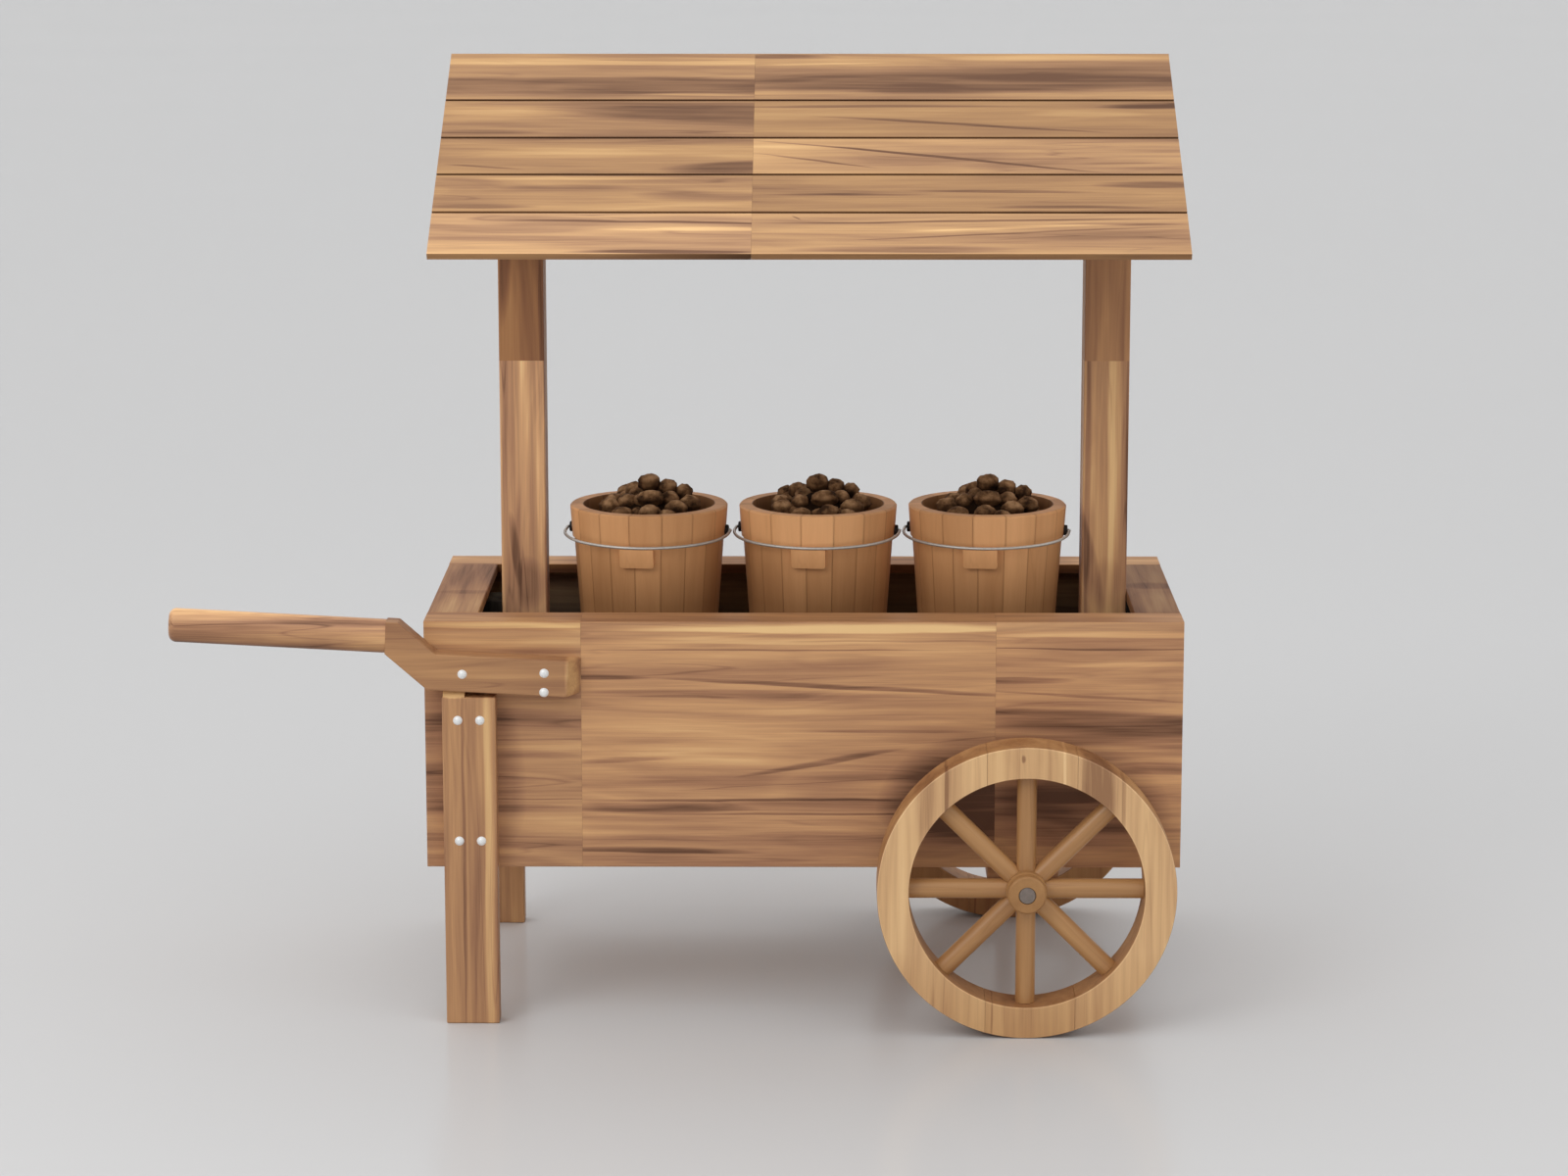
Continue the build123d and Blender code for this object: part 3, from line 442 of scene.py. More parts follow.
class Tree:
    """Short calls that build one material's nodes."""

    def __init__(self, name):
        self.material = bpy.data.materials.new(name)
        self.material.use_nodes = True
        self.nodes = self.material.node_tree.nodes
        self.links = self.material.node_tree.links
        self.shader = self.nodes["Principled BSDF"]
        coordinates = self.nodes.new("ShaderNodeTexCoord").outputs
        self.position = coordinates["Object"]
        self.facing = coordinates["Normal"]

    def feed(self, socket, value):
        """Link another node's output to a socket, or write a plain value into it."""
        if isinstance(value, bpy.types.NodeSocket):
            self.links.new(value, socket)
        else:
            socket.default_value = value

    def math(self, operation, *values):
        """The result of one sum on some values."""
        node = self.nodes.new("ShaderNodeMath")
        node.operation = operation
        for socket, value in zip(node.inputs, values):
            self.feed(socket, value)
        return node.outputs[0]

    def vector(self, operation, *values):
        """The result of one sum on some vectors."""
        node = self.nodes.new("ShaderNodeVectorMath")
        node.operation = operation
        for socket, value in zip(node.inputs, values):
            self.feed(socket, value)
        return node.outputs[0]

    def split(self, vector):
        """A vector's three parts."""
        node = self.nodes.new("ShaderNodeSeparateXYZ")
        self.feed(node.inputs[0], vector)
        return node.outputs[0], node.outputs[1], node.outputs[2]

    def join(self, x, y, z):
        """A vector made of three parts."""
        node = self.nodes.new("ShaderNodeCombineXYZ")
        for socket, value in zip(node.inputs, (x, y, z)):
            self.feed(socket, value)
        return node.outputs[0]

    def noise(self, place, detail, roughness=0.5, scale=1.0):
        """Cloudy noise in space."""
        node = self.nodes.new("ShaderNodeTexNoise")
        self.feed(node.inputs["Vector"], place)
        node.inputs["Scale"].default_value = scale
        node.inputs["Detail"].default_value = detail
        node.inputs["Roughness"].default_value = roughness
        return node.outputs[0]

    def line_noise(self, value, detail, roughness):
        """Cloudy noise along one value."""
        node = self.nodes.new("ShaderNodeTexNoise")
        node.noise_dimensions = "1D"
        self.feed(node.inputs["W"], value)
        node.inputs["Scale"].default_value = 1
        node.inputs["Detail"].default_value = detail
        node.inputs["Roughness"].default_value = roughness
        return node.outputs[0]

    def scatter(self, value):
        """A steady random number from 0 to 1 for each whole number."""
        node = self.nodes.new("ShaderNodeTexWhiteNoise")
        node.noise_dimensions = "1D"
        self.feed(node.inputs["W"], value)
        return node.outputs[0]

    def span(self, value, low, high, to_low=0.0, to_high=1.0):
        """A value from low to high, spread from to_low to to_high and held there."""
        node = self.nodes.new("ShaderNodeMapRange")
        for socket, number in zip(node.inputs, (value, low, high, to_low, to_high)):
            self.feed(socket, number)
        return node.outputs[0]

    def weighted(self, *pairs):
        """The sum of some values, each with its weight."""
        total = None
        for value, weight in pairs:
            part = self.math("MULTIPLY", value, weight)
            total = part if total is None else self.math("ADD", total, part)
        return total

    def length(self, a, b):
        """The distance that a and b make at right angles to each other."""
        return self.math("SQRT", self.math("MULTIPLY_ADD", a, a, self.math("MULTIPLY", b, b)))

    def ramp(self, value, tones):
        """A colour from evenly spaced tones."""
        node = self.nodes.new("ShaderNodeValToRGB")
        self.feed(node.inputs[0], value)
        stops = node.color_ramp.elements
        while len(stops) < len(tones):
            stops.new(0.5)
        for k, tone in enumerate(tones):
            stops[k].position = k / (len(tones) - 1)
            stops[k].color = (*tone, 1)
        return node.outputs[0]

    def brighten(self, colour, factor, powers=SHADE_POWERS):
        """A colour made lighter or darker by a factor, which is raised to a power for each channel."""
        shade = [self.math("POWER", factor, power) for power in powers]
        return self.vector("MULTIPLY", colour, self.join(*shade))

    def bump(self, height, distance, strength):
        """Fine relief."""
        node = self.nodes.new("ShaderNodeBump")
        node.inputs["Strength"].default_value = strength
        node.inputs["Distance"].default_value = distance
        self.feed(node.inputs["Height"], height)
        self.links.new(node.outputs[0], self.shader.inputs["Normal"])

    def finish(self, colour, roughness, shine=None):
        """The finished material, with its own shine where one is given."""
        self.feed(self.shader.inputs["Base Color"], colour)
        self.feed(self.shader.inputs["Roughness"], roughness)
        if shine is not None:
            self.shader.inputs["Specular IOR Level"].default_value = shine
        return self.material


def board_axes(tree, along):
    """Distances along, across and through straight boards, with X measured from the box's middle."""
    x, y, z = tree.split(tree.position)
    x = tree.math("SUBTRACT", x, body_middle)
    return {"x": (x, z, y), "y": (y, x, z), "z": (z, x, y)}[along]


def length_number(tree, x, seams):
    """Which butted length a point lies in, counted from 0 at the left."""
    number = 0.0
    for seam in seams:
        number = tree.math("ADD", number, tree.math("GREATER_THAN", x, seam))
    return number


def by_length(tree, number, values):
    """The value of each butted length, by its number."""
    if len(values) == 1:
        return values[0]
    total = 0.0
    for k, value in enumerate(values):
        here = tree.math("COMPARE", number, k, 0.5)
        total = tree.math("MULTIPLY_ADD", here, value, total)
    return total


def placed_streaks(tree, along, across, streaks):
    """Tone change from streaks, and from painted shade and light, at chosen places: strongest in the middle.
    """
    total = 0.0
    for middle, height, half_length, half_width, slope, change in streaks:
        u = tree.math("MULTIPLY_ADD", along, 1 / half_length, -middle / half_length)
        v = tree.math("MULTIPLY_ADD", across, 1 / half_width, -height / half_width)
        v = tree.math("MULTIPLY_ADD", u, -slope * half_length / half_width, v)
        v = tree.math("MAXIMUM", v, tree.math("MULTIPLY", v, -SHARP_EDGE))
        reach = tree.math("MULTIPLY_ADD", v, v, tree.math("MULTIPLY", u, u))
        total = tree.math("ADD", total, tree.span(reach, STREAK_CORE, 1, change, 0))
    return total


def figured(
    tree, place, tones, shade=1.0, change=0.0, contrast=1.0, gloss=0.5, shine=0.28, powers=SHADE_POWERS,
):
    """Wood cut along its rings: bands, streaks, thin dark lines and fibres, first axis along the grain."""
    def layer(length, width, detail):
        squeeze = (1 / length, 1 / width, 1 / width)
        return tree.noise(tree.vector("MULTIPLY", place, squeeze), detail)

    _, across, depth = tree.split(place)
    swirl = layer(*SWIRL_LAYER)
    rings = tree.weighted((across, 1 / RING_WIDTH), (depth, 0.5 / RING_WIDTH), (swirl, SWIRL_RINGS))
    band = tree.span(tree.line_noise(rings, detail=3, roughness=0.55), *NOISE_RANGE)
    streak = tree.span(layer(*STREAK_LAYER), *NOISE_RANGE)
    broad = layer(*BROAD_LAYER)
    fibre = layer(*FIBRE_LAYER)
    contour = tree.math("ABSOLUTE", tree.math("SUBTRACT", layer(*LINE_LAYER), 0.5))
    line = tree.math(
        "MULTIPLY", tree.span(contour, 0, LINE_WIDTH, 1, 0), tree.span(broad, *LINE_TONES, 1, 0),
    )
    tone = tree.weighted(
        (band, BAND_WEIGHT), (streak, STREAK_WEIGHT), (broad, BROAD_WEIGHT), (fibre, FIBRE_WEIGHT),
    )
    spread = TONE_SPREAD / contrast
    tone = tree.span(tone, 0.5 - spread, 0.5 + spread, *TONE_RANGE)
    tone = tree.math("ADD", tree.math("MULTIPLY_ADD", line, -LINE_DARKNESS * contrast, tone), change)
    tone = tree.math("MINIMUM", tree.math("MAXIMUM", tone, 0), 1)
    colour = tree.brighten(tree.ramp(tone, tones), shade, powers)
    tree.bump(tree.weighted((fibre, 0.6), (streak, 0.4)), *GRAIN_RELIEF)
    dull, bright = [gloss + step for step in GLOSS_RANGE]
    return tree.finish(colour, tree.span(tone, 0, 1, dull, bright), shine)


def plank(
    name, along, seed, tones=BODY_TONES, seams=(), shades=(1.0,), streaks=NO_STREAKS, wander=BODY_WANDER,
    shading=None, **figure,
):
    """A material for straight boards, with a tone and streaks for each butted length."""
    tree = Tree(name)
    axes = board_axes(tree, along)
    number = length_number(tree, axes[0] if along == "x" else axes[1], seams)
    shift = tree.math("MULTIPLY_ADD", number, LENGTH_SHIFT, seed)
    cross_shift = tree.math("MULTIPLY", shift, CROSS_SHIFT)
    place = tree.vector("ADD", tree.join(*axes), tree.join(shift, cross_shift, shift))
    shade = by_length(tree, number, shades)
    if shading:
        shade = tree.math("MULTIPLY", shade, shading(tree))
    drift = tree.noise(tree.vector("MULTIPLY", place, WANDER_SCALE), 2)
    across = tree.math("MULTIPLY_ADD", drift, wander, tree.math("SUBTRACT", axes[1], wander / 2))
    change = by_length(tree, number, [placed_streaks(tree, axes[0], across, own) for own in streaks])
    return figured(tree, place, tones, shade, change, **figure)


def staves(name, base, count, first_seam, seed, shade, spread, block_top):
    """Smooth wood in staves round an upright axis, each of its own tone, dark at seams, with painted shade
    inside and low down.

    What lies under block_top is one block of a single tone.
    """
    tree = Tree(name)
    x, y, height = tree.split(tree.vector("SUBTRACT", tree.position, base))
    turn = tree.math("SUBTRACT", tree.math("ARCTAN2", y, x), radians(BUCKET_TURN + first_seam))
    turns = tree.math("MULTIPLY", turn, count / (2 * pi))
    block = tree.math("LESS_THAN", height, block_top)
    scatter = tree.scatter(tree.math("ADD", tree.math("FLOOR", turns), seed))
    own = tree.math("MULTIPLY_ADD", block, tree.math("SUBTRACT", BLOCK_TONE, scatter), scatter)
    seam = tree.span(tree.math("PINGPONG", turns, 0.5), 0, STAVE_SEAM_SHARE, STAVE_SEAM_SHADE, 1)
    seam = tree.math("MAXIMUM", seam, block)
    place = tree.join(tree.math("MULTIPLY_ADD", own, STAVE_SHIFT, height), x, y)
    foot = tree.math("MULTIPLY_ADD", height, -BUCKET_TAPER, tree.length(x, y))
    inner = tree.math("LESS_THAN", foot, BUCKET_INNER_FOOT)
    # Painted shade: darker low down outside, and darker down the inside below the rim
    outside = tree.span(height, *BUCKET_OUTSIDE_SHADE)
    inside = tree.span(height, *BUCKET_INSIDE_SHADE)
    side = tree.math("MULTIPLY_ADD", inner, tree.math("SUBTRACT", inside, outside), outside)
    tone = tree.span(own, 0, 1, (1 - spread) * shade, (1 + spread) * shade)
    shading = tree.math("MULTIPLY", tree.math("MULTIPLY", tone, side), seam)
    return figured(tree, place, BUCKET_TONES, shading, contrast=0.5, shine=0.2)


def spokes(name, centre, count, seed):
    """Turned wood in bars that run out from an axis along Y, with the grain along each bar."""
    tree = Tree(name)
    x, y, z = tree.split(tree.vector("SUBTRACT", tree.position, centre))
    pitch = 2 * pi / count
    angle = tree.math("ARCTAN2", z, x)
    snapped = tree.math("SNAP", tree.math("ADD", angle, pitch / 2), pitch)
    radius = tree.length(x, z)
    off = tree.math("SUBTRACT", angle, snapped)
    along = tree.math("MULTIPLY", radius, tree.math("COSINE", off))
    across = tree.math("MULTIPLY", radius, tree.math("SINE", off))
    own = tree.math("MULTIPLY", tree.math("ADD", snapped, seed), SPOKE_SHIFT)
    place = tree.join(tree.math("ADD", along, own), tree.math("ADD", across, own), y)
    return figured(tree, place, TURNED_TONES, contrast=0.8, gloss=0.30, shine=0.45)


def metal(name, colour, roughness, mottle=0.15, metallic=1.0):
    """Metal with a faint mottle in its colour and gloss."""
    tree = Tree(name)
    cloud = tree.noise(tree.position, 4, 0.6, METAL_SCALE)
    tree.shader.inputs["Metallic"].default_value = metallic
    tree.bump(cloud, *METAL_RELIEF)
    dark = [channel * (1 - mottle) for channel in colour]
    light = [min(channel * (1 + mottle), 1) for channel in colour]
    tone = tree.ramp(tree.span(cloud, *METAL_NOISE), (dark, light))
    smooth, rough = [roughness + step for step in METAL_ROUGHNESS]
    return tree.finish(tone, tree.span(cloud, *METAL_NOISE, smooth, rough))


def nut_shell(name):
    """Rough dark nut shell: brown patches on near black, painted shade below and light on top, a scurfy
    surface.
    """
    tree = Tree(name)
    patch = tree.noise(tree.position, 4, 0.55, SHELL_PATCH_SCALE)
    scurf = tree.noise(tree.position, 3, 0.6, SHELL_SCURF_SCALE)
    tone = tree.span(tree.weighted((patch, 0.86), (scurf, 0.14)), *SHELL_NOISE)
    _, _, up = tree.split(tree.facing)
    colour = tree.brighten(tree.ramp(tone, SHELL_TONES), tree.span(up, *SHELL_TILT, *SHELL_LIGHT_AND_SHADE))
    tree.bump(tree.weighted((patch, 0.4), (scurf, 0.6)), *SHELL_RELIEF)
    return tree.finish(colour, tree.span(tone, 0, 1, 0.9, 0.75), shine=0.1)


def nut_gap_shade(name):
    """Painted shade: the near black of the fill between the nuts."""
    tree = Tree(name)
    cloud = tree.noise(tree.position, 3, scale=GAP_SCALE)
    return tree.finish(tree.ramp(cloud, GAP_TONES), tree.span(cloud, *GAP_NOISE, 0.8, 0.95), shine=0.02)


def pale_floor(name):
    """The floor's pale grey, with a faint cloud in its tone and gloss."""
    tree = Tree(name)
    cloud = tree.noise(tree.position, 2, scale=0.2)
    return tree.finish(tree.ramp(cloud, FLOOR_TONES), tree.span(cloud, 0, 1, 0.16, 0.22), shine=0.08)


def painted_inside_shade(axis, limit, over):
    """Painted shade of a wall that darkens down its inner face, which lies over or under a limit on one axis.
    """
    def shading(tree):
        place = tree.split(tree.position)
        inner = tree.math("GREATER_THAN" if over else "LESS_THAN", place[axis], limit)
        depth = tree.span(place[2], DECK_TOP, RIM_TOP, INSIDE_SHADE_LOW, INSIDE_SHADE_HIGH)
        return tree.math("MULTIPLY_ADD", inner, tree.math("SUBTRACT", depth, 1), 1)
    return shading


def painted_rim_shade(top_shade, edge_shade=1.0):
    """Painted shade of a rim board: on its top, and on its sides."""
    def shading(tree):
        _, _, z = tree.split(tree.position)
        return tree.span(z, RIM_TOP - 2 * SKIN_DEPTH, RIM_TOP - SKIN_DEPTH, edge_shade, top_shade)
    return shading


def painted_board_edge_shade(tree):
    """Painted shade of a roof board: its edges, which lie in the dark of the gaps."""
    _, _, up = tree.split(tree.facing)
    return tree.span(up, *EDGE_TILT, EDGE_SHADE, 1)


def eave_highlight_and_shade(tree):
    """Painted highlight on the eave's arris, over painted shade on its edge, black left of the seam."""
    x, _, z = tree.split(tree.position)
    seam = body_middle + ROOF_SEAM[0]
    edge = tree.math("LESS_THAN", z, EAVE_TOP - EAVE_EDGE_DEPTH)
    arris = tree.math("COMPARE", z, EAVE_TOP, EAVE_ARRIS)
    left = tree.span(x, seam - EAVE_BLACK_LENGTH, seam, 0, 1)
    black = tree.math("MULTIPLY", left, tree.math("LESS_THAN", x, seam))
    depth = tree.math("MULTIPLY_ADD", black, EAVE_BLACK, EAVE_EDGE_SHADE)
    return tree.math("MULTIPLY_ADD", edge, depth, tree.math("MULTIPLY_ADD", arris, EAVE_ARRIS_HIGHLIGHT, 1))


def painted_underside_shade(tree):
    """Painted shade of a round bar, darker where it faces down."""
    _, _, up = tree.split(tree.facing)
    return tree.span(up, *UNDERSIDE_TILT, UNDERSIDE_SHADE, 1)


def rim_wear_and_painted_light(centre, inner, outer, box_side):
    """Wheel rim: arrises of wear and painted highlight; painted shade on mottled tread, inner side, foot, box
    side.
    """
    half_width = (outer - inner) / 2

    def shading(tree):
        x, _, z = tree.split(tree.vector("SUBTRACT", tree.position, centre))
        _, facing_back, _ = tree.split(tree.facing)
        radius = tree.length(x, z)
        off_middle = tree.math("ABSOLUTE", tree.math("SUBTRACT", radius, (inner + outer) / 2))
        arris = tree.span(off_middle, half_width - ARRIS_FROM, half_width - ARRIS_TO, 1, ARRIS_LIGHT)
        tread = tree.math("GREATER_THAN", radius, outer - SKIN_DEPTH)
        inside = tree.math("LESS_THAN", radius, inner + SKIN_DEPTH)
        mottle = tree.span(tree.noise(tree.position, 3, scale=TREAD_SCALE), *TREAD_NOISE, *TREAD_DARK)
        shade = tree.math("MULTIPLY_ADD", tread, mottle, arris)
        shade = tree.math("MULTIPLY_ADD", inside, INNER_SIDE_DARK, shade)
        low = tree.span(z, -outer, -inner / 2, WHEEL_FOOT_SHADE, 1)
        to_box = tree.math("MULTIPLY", facing_back, box_side)
        hidden = tree.span(to_box, *HIDDEN_FACE_TILT, 1, HIDDEN_FACE_SHADE)
        return tree.math("MULTIPLY", shade, tree.math("MULTIPLY", low, hidden))
    return shading


def dress(node, material):
    """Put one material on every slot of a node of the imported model."""
    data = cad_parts[node].data
    data.materials.clear()
    data.materials.append(material)


def bucket_base(side):
    """The middle of a bucket's foot."""
    low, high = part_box(f"{side}_bucket_staves")
    return Vector(((low.x + high.x) / 2, (low.y + high.y) / 2, low.z))


def ring_of_points(mesh, radius, height, sides):
    """Points of a level ring round the upright axis."""
    ring = []
    for k in range(sides):
        angle = 2 * pi * k / sides
        ring.append(mesh.verts.new((radius * cos(angle), radius * sin(angle), height)))
    return ring


def add_piece(name, mesh):
    """Put a finished mesh into the scene as one piece."""
    data = bpy.data.meshes.new(name)
    mesh.to_mesh(data)
    mesh.free()
    piece = bpy.data.objects.new(name, data)
    bpy.context.scene.collection.objects.link(piece)
    return piece


def add_nut(mesh, place, half_axes, turn, seed, detail):
    """One rough nut: a ball drawn out to its half axes, creased along its seam and wrinkled all over."""
    ball = bmesh.ops.create_icosphere(mesh, subdivisions=detail, radius=1)
    tilt = NUT_TILT_STEP * seed % (2 * NUT_TILT) - NUT_TILT
    lie = Matrix.Rotation(radians(turn), 3, "Z") @ Matrix.Rotation(radians(tilt), 3, "X")
    own = Vector([seed * step for step in NUT_SEED_STEP])
    for vertex in ball["verts"]:
        direction = vertex.co.normalized()
        wrinkle = noise.fractal(direction * NUT_WRINKLE_SCALE + own, *NUT_FRACTAL)
        crease = NUT_CREASE * max(0, 1 - abs(direction.z) / NUT_CREASE_WIDTH)
        size = 1 + NUT_WRINKLE * wrinkle - crease
        vertex.co = place + lie @ Vector([size * a * d for a, d in zip(half_axes, direction)])
    for face in {face for vertex in ball["verts"] for face in vertex.link_faces}:
        face.smooth = True


def fill_cone(mesh):
    """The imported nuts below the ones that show: a closed cone inside the staves."""
    half_way = (0.5 * FILL_RADIUS, 0.5 * (FILL_WALL + FILL_PEAK))
    profile = ((FILL_LOW_RADIUS, FILL_LOW), (FILL_RADIUS, FILL_WALL), half_way)
    rings = [ring_of_points(mesh, radius, height, FILL_SIDES) for radius, height in profile]
    low = mesh.verts.new((0, 0, FILL_LOW))
    peak = mesh.verts.new((0, 0, FILL_PEAK))
    for k in range(FILL_SIDES):
        after = (k + 1) % FILL_SIDES
        mesh.faces.new((low, rings[0][after], rings[0][k]))
        for under, over in zip(rings, rings[1:]):
            mesh.faces.new((under[k], under[after], over[after], over[k]))
        mesh.faces.new((rings[-1][k], rings[-1][after], peak))
    # The fill takes the second material: near black, painted shade between the nuts
    for face in mesh.faces:
        face.material_index = 1


def heap_of_nuts(name, base, turn, draw):
    """A bucket's nuts as one piece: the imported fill, the nuts that show, and small ones in the gaps."""
    mesh = bmesh.new()
    fill_cone(mesh)
    for k, (right, back, height, length, lie) in enumerate(NUTS):
        half_axes = (length / 2, NUT_WIDTH / 2, NUT_WIDTH / 2)
        add_nut(mesh, Vector((right, back, height)), half_axes, lie, k + 1, NUT_DETAIL)
    for radius, count in FILLER_RINGS:
        slope_height = FILL_PEAK + (FILL_WALL - FILL_PEAK) * radius / FILL_RADIUS
        for k in range(count):
            angle = 2 * pi * (k + draw.uniform(-FILLER_OFF, FILLER_OFF)) / count
            half = draw.uniform(*FILLER_HALF)
            height = slope_height + draw.uniform(*FILLER_SINK)
            place = Vector((radius * cos(angle), radius * sin(angle), height))
            half_axes = (half * draw.uniform(*FILLER_STRETCH), half, half)
            seed = FILLER_FIRST_SEED + k + FILLER_SEED_STEP * radius
            add_nut(mesh, place, half_axes, draw.uniform(0, 180), seed, FILLER_DETAIL)
    heap = add_piece(name, mesh)
    heap.data.transform(Matrix.Translation(base) @ Matrix.Rotation(radians(BUCKET_TURN + turn), 4, "Z"))
    return heap


def studio_floor():
    """A round floor that sweeps up into a wall far away."""
    mesh = bmesh.new()
    profile = [(FLOOR_RADIUS / 8, 0.0), (FLOOR_RADIUS / 2, 0.0), (FLOOR_RADIUS, 0.0)]
    for k in range(1, SWEEP_STEPS + 1):
        angle = pi / 2 * k / SWEEP_STEPS
        profile.append((FLOOR_RADIUS + SWEEP_RADIUS * sin(angle), SWEEP_RADIUS * (1 - cos(angle))))
    middle = mesh.verts.new((0, 0, -FLOOR_DROP))
    inner = None
    for radius, height in profile:
        ring = ring_of_points(mesh, radius, height - FLOOR_DROP, FLOOR_SIDES)
        for k in range(FLOOR_SIDES):
            after = (k + 1) % FLOOR_SIDES
            if inner is None:
                mesh.faces.new((middle, ring[k], ring[after]))
            else:
                mesh.faces.new((inner[k], ring[k], ring[after], inner[after]))
        inner = ring
    for face in mesh.faces:
        face.smooth = True
    return add_piece("studio_floor", mesh)


def softbox(name, place, target, size, power):
    """A square lamp that faces its target."""
    light = bpy.data.lights.new(name, "AREA")
    light.shape = "SQUARE"
    light.size = size
    light.energy = power
    lamp = bpy.data.objects.new(name, light)
    lamp.location = place
    lamp.rotation_euler = (Vector(target) - Vector(place)).to_track_quat("-Z", "Y").to_euler()
    bpy.context.scene.collection.objects.link(lamp)


# Box body: the front rim's boards carry on the front panel's figure, and painted shade darkens the inside
_, front_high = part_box("front_panel")
_, left_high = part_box("left_end_panel")
right_low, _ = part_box("right_end_panel")
front_wood = dict(
    along="x", seed=1.3, seams=FRONT_SEAMS, shades=FRONT_SHADES, streaks=FRONT_STREAKS_AND_SHADOWS, contrast=0.85,
)
front_inside_shade = painted_inside_shade(1, front_high.y - SKIN_DEPTH, True)
dress("front_panel", plank("front_panel_wood", shading=front_inside_shade, powers=DEEP_POWERS, **front_wood))
back_inside_shade = painted_inside_shade(1, body_low.y + SKIN_DEPTH, False)
dress("back_panel", plank("back_panel_wood", "x", 4.1, shading=back_inside_shade, powers=DEEP_POWERS))
end_wood = dict(along="y", powers=DEEP_POWERS, contrast=0.75)
left_inside_shade = painted_inside_shade(0, left_high.x - SKIN_DEPTH, True)
dress("left_end_panel", plank("left_end_wood", seed=5.2, shading=left_inside_shade, **end_wood))
right_inside_shade = painted_inside_shade(0, right_low.x + SKIN_DEPTH, False)
dress("right_end_panel", plank("right_end_wood", seed=6.6, shading=right_inside_shade, **end_wood))
dress("floor_panel", plank("floor_wood", "x", 7.4))
# The battens and the deck are painted near black: painted shade deep in the box
dress("inner_battens", plank("batten_shade_wood", "z", 12.2, shades=(0.05,), powers=DEEP_POWERS, shine=0))
dress("display_deck", plank("deck_shade_wood", "x", 13.4, shades=(0.09,), powers=DEEP_POWERS, shine=0))

# Rim boards: painted shade on their tops and their sides
RIM_SHINE = 0.15
front_rim_wood = plank(
    "rim_front_wood", shading=painted_rim_shade(0.84), shine=RIM_SHINE, powers=WARM_POWERS, **front_wood,
)
dress("rim_front", front_rim_wood)
rim_woods = {
    "back": ("x", 9.9, RIM_BACK_STREAKS, painted_rim_shade(1.0, 0.3)),
    "left": ("y", 10.7, RIM_LEFT_STREAKS, painted_rim_shade(0.77, 0.8)),
    "right": ("y", 11.5, RIM_RIGHT_STREAKS, painted_rim_shade(0.47, 0.6)),
}
for side, (along, seed, streaks, top) in rim_woods.items():
    wood = plank(f"rim_{side}_wood", along, seed, streaks=streaks, shading=top, shine=RIM_SHINE)
    dress(f"rim_{side}", wood)

# Roof and its posts
for k, (side, (low_streaks, low_shade, top_streaks, top_shade)) in enumerate(POST_WOODS.items()):
    low_wood = plank(f"{side}_post_lower_wood", "z", 14.3 + 2.1 * k, shades=(low_shade,), streaks=low_streaks)
    dress(f"{side}_post_lower", low_wood)
    top_wood = plank(
        f"{side}_post_upper_wood", "z", 18.5 + 2.1 * k, shades=(top_shade,), streaks=top_streaks,
        contrast=0.7, powers=WARM_POWERS,
    )
    dress(f"{side}_post_upper", top_wood)
for k, side in enumerate(("front", "back")):
    for row, shades in enumerate(ROW_SHADES):
        name = f"roof_{side}_board_{row + 1}"
        seed = ROOF_SEED + ROW_SEED_STEP * row + SLOPE_SEED_STEP * k
        wood = plank(
            f"{name}_wood", "x", seed, ROOF_TONES, ROOF_SEAM, shades,
            ROOF_STREAKS[row] if side == "front" else NO_STREAKS, ROOF_WANDER,
            painted_board_edge_shade if row else eave_highlight_and_shade, contrast=0.8, shine=0.2,
        )
        dress(name, wood)
dress("ridge_beam", plank("ridge_wood", "x", 91.2))
dress("rafters", plank("rafter_wood", "y", 92.9))
dress("tie_beams", plank("tie_wood", "y", 94.3))

# Legs, handle and running gear
dress("near_leg", plank("near_leg_wood", "z", 95.1, shades=(0.9,), streaks=LEG_STREAKS_AND_LIT_HEEL, contrast=0.8))
dress("far_leg", plank("far_leg_wood", "z", 97.7, shades=(0.8,)))
arm_wood = plank("handle_arm_wood", "x", 99.4, shades=(0.80,), streaks=HANDLE_STREAKS_AND_LIT_BEVEL, contrast=0.8)
dress("handle_arm", arm_wood)
grip_wood = plank(
    "handle_grip_wood", "x", 101.9, shades=(1.26,), shading=painted_underside_shade, contrast=1.3, gloss=0.38,
)
dress("handle_grip", grip_wood)
dress("axle_blocks", plank("axle_block_wood", "x", 103.3))
steel = metal("axle_steel", STEEL_COLOUR, roughness=0.5)
dress("axle", steel)
dress("axle_caps", steel)
bright_steel = metal("screw_steel", SCREW_COLOUR, roughness=0.34, mottle=0.03, metallic=0.2)
dress("coach_screws", bright_steel)
for k, (side, box_side) in enumerate((("near", 1), ("far", -1))):
    low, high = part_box(f"{side}_wheel_rim")
    middle = (low + high) / 2
    rim_shading = rim_wear_and_painted_light(middle, WHEEL_INNER_RADIUS, (high.z - low.z) / 2, box_side)
    rim_wood = plank(
        f"{side}_rim_wood", "z", 105 + 3.3 * k, RIM_TONES, WHEEL_GLUE_LINES, WHEEL_SHADES,
        WHEEL_STREAKS, shading=rim_shading, contrast=0.8, powers=WARM_POWERS,
    )
    dress(f"{side}_wheel_rim", rim_wood)
    dress(f"{side}_wheel_spokes", spokes(f"{side}_spoke_wood", middle, SPOKE_COUNT, 113.1 + k))
    hub_wood = plank(
        f"{side}_hub_wood", "y", 117.7 + k, TURNED_TONES, shades=(0.86,), contrast=0.6, gloss=0.42,
    )
    dress(f"{side}_wheel_hub", hub_wood)

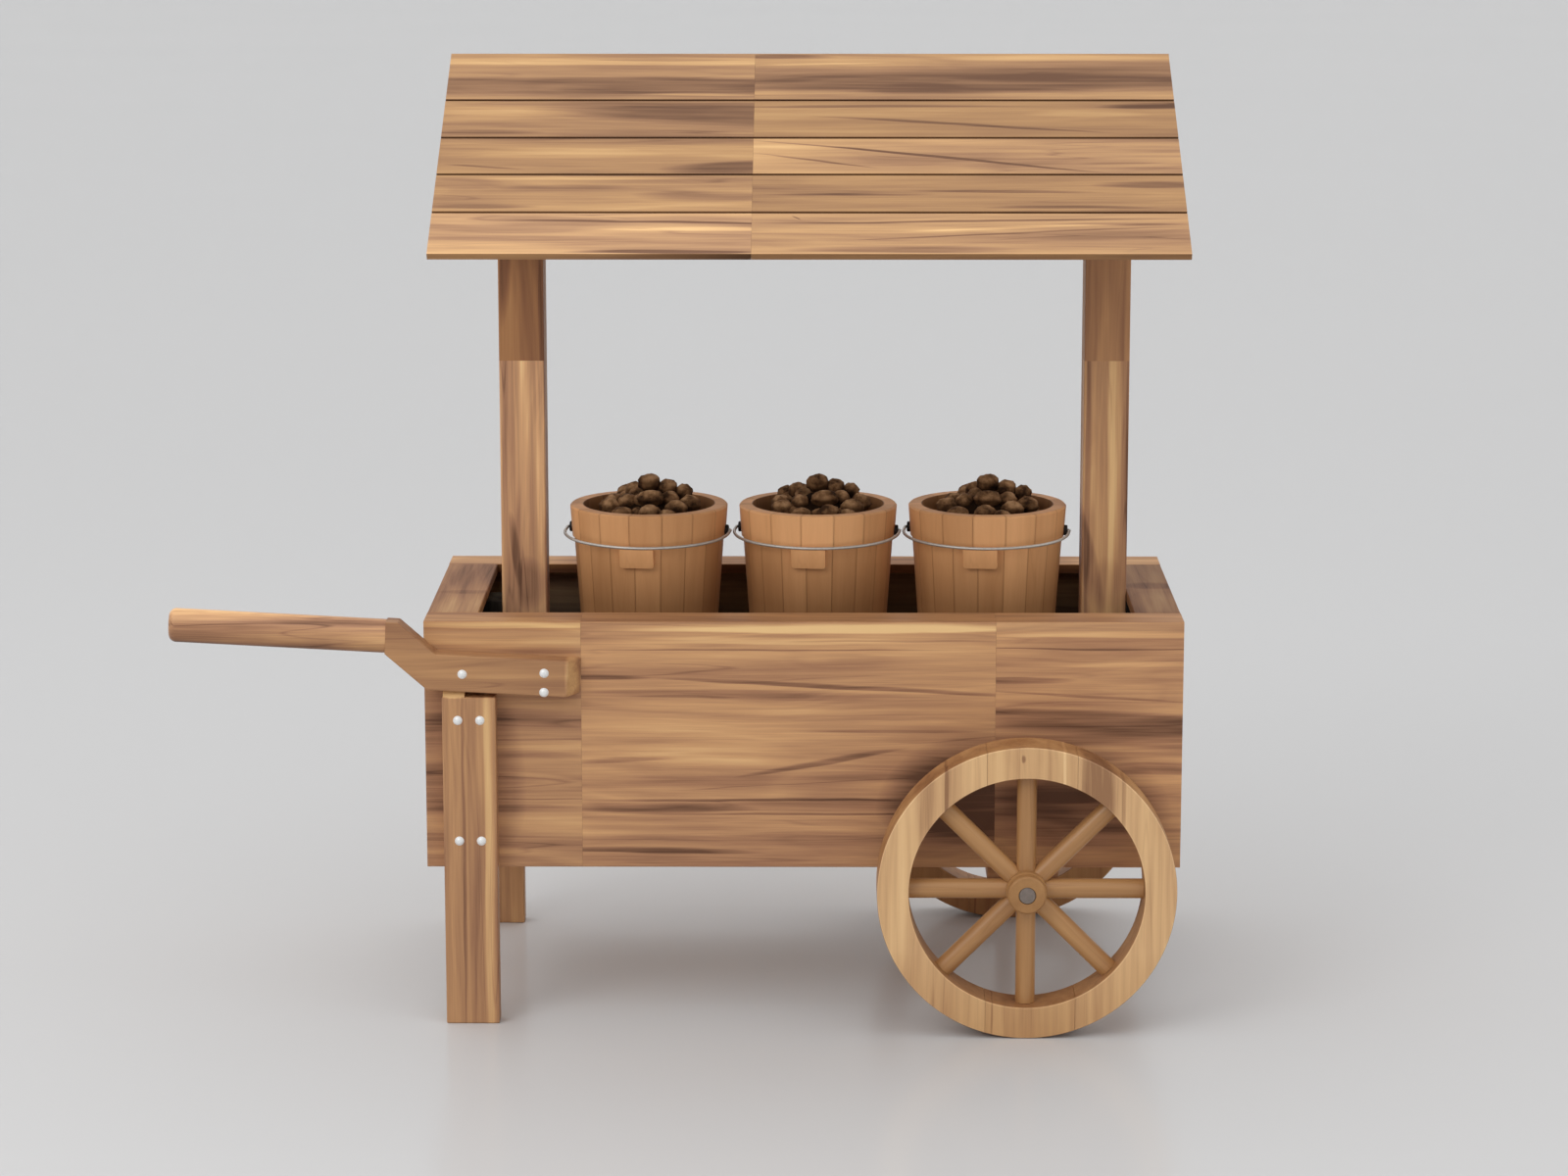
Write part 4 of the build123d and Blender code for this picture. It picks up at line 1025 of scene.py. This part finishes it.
# Buckets
iron = metal("black_iron", IRON_COLOUR, roughness=0.55, mottle=0.3, metallic=0.4)
wire = metal("bail_wire", WIRE_COLOUR, roughness=0.45, mottle=0.1, metallic=0.7)
for k, side in enumerate(BUCKET_SIDES):
    base = bucket_base(side)
    seed = BUCKET_SEED + BUCKET_SEED_STEP * k
    stave_wood = staves(
        f"{side}_stave_wood", base, STAVE_COUNT, STAVE_FIRST_SEAM, seed, BUCKET_SHADES[k], STAVE_SPREAD,
        NO_BLOCK,
    )
    dress(f"{side}_bucket_staves", stave_wood)
    collar_wood = staves(
        f"{side}_collar_wood", base, COLLAR_COUNT, COLLAR_FIRST_SEAM, seed + 4, COLLAR_SHADE, COLLAR_SPREAD,
        COLLAR_BOTTOM,
    )
    dress(f"{side}_bucket_collar", collar_wood)
    dress(f"{side}_bucket_bottom", plank(f"{side}_bottom_wood", "x", seed + 8, BUCKET_TONES))
    dress(f"{side}_bucket_ears", iron)
    dress(f"{side}_bucket_bail", wire)

# Nuts
shell = nut_shell("nut_shell")
gaps = nut_gap_shade("nut_gap_shade")
for k, side in enumerate(BUCKET_SIDES):
    heap = heap_of_nuts(f"{side}_nut_heap", bucket_base(side), HEAP_TURNS[k], random.Random(HEAP_SEED + k))
    heap.data.materials.append(shell)
    heap.data.materials.append(gaps)
    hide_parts(f"{side}_bucket_nuts")
    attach(heap, f"{side}_bucket")

# Studio floor
floor = studio_floor()
floor.data.materials.append(pale_floor("studio_floor"))

# Studio light
world = bpy.data.worlds.new("studio")
world.use_nodes = True
sky = world.node_tree.nodes
direction = sky.new("ShaderNodeTexCoord")
height = sky.new("ShaderNodeSeparateXYZ")
strength = sky.new("ShaderNodeMapRange")
strength.inputs["To Min"].default_value = SKY_LOW
strength.inputs["To Max"].default_value = SKY_HIGH
world.node_tree.links.new(direction.outputs["Generated"], height.inputs[0])
world.node_tree.links.new(height.outputs["Z"], strength.inputs["Value"])
world.node_tree.links.new(strength.outputs["Result"], sky["Background"].inputs["Strength"])
sky["Background"].inputs["Color"].default_value = (1.0, 1.0, 1.0, 1)
bpy.context.scene.world = world
softbox("key_light", KEY_PLACE, (cad_low + cad_high) / 2, KEY_SIZE, KEY_POWER)

# Camera
camera_data = bpy.data.cameras.new("camera")
camera_data.lens = CAMERA_LENS
camera_data.sensor_width = SENSOR_WIDTH
camera = bpy.data.objects.new("camera", camera_data)
camera.location = CAMERA_PLACE
camera.rotation_euler = (radians(90 - CAMERA_DOWN), radians(CAMERA_ROLL), radians(CAMERA_LEFT))
bpy.context.scene.collection.objects.link(camera)
bpy.context.scene.camera = camera
bpy.context.scene.view_settings.view_transform = "Standard"
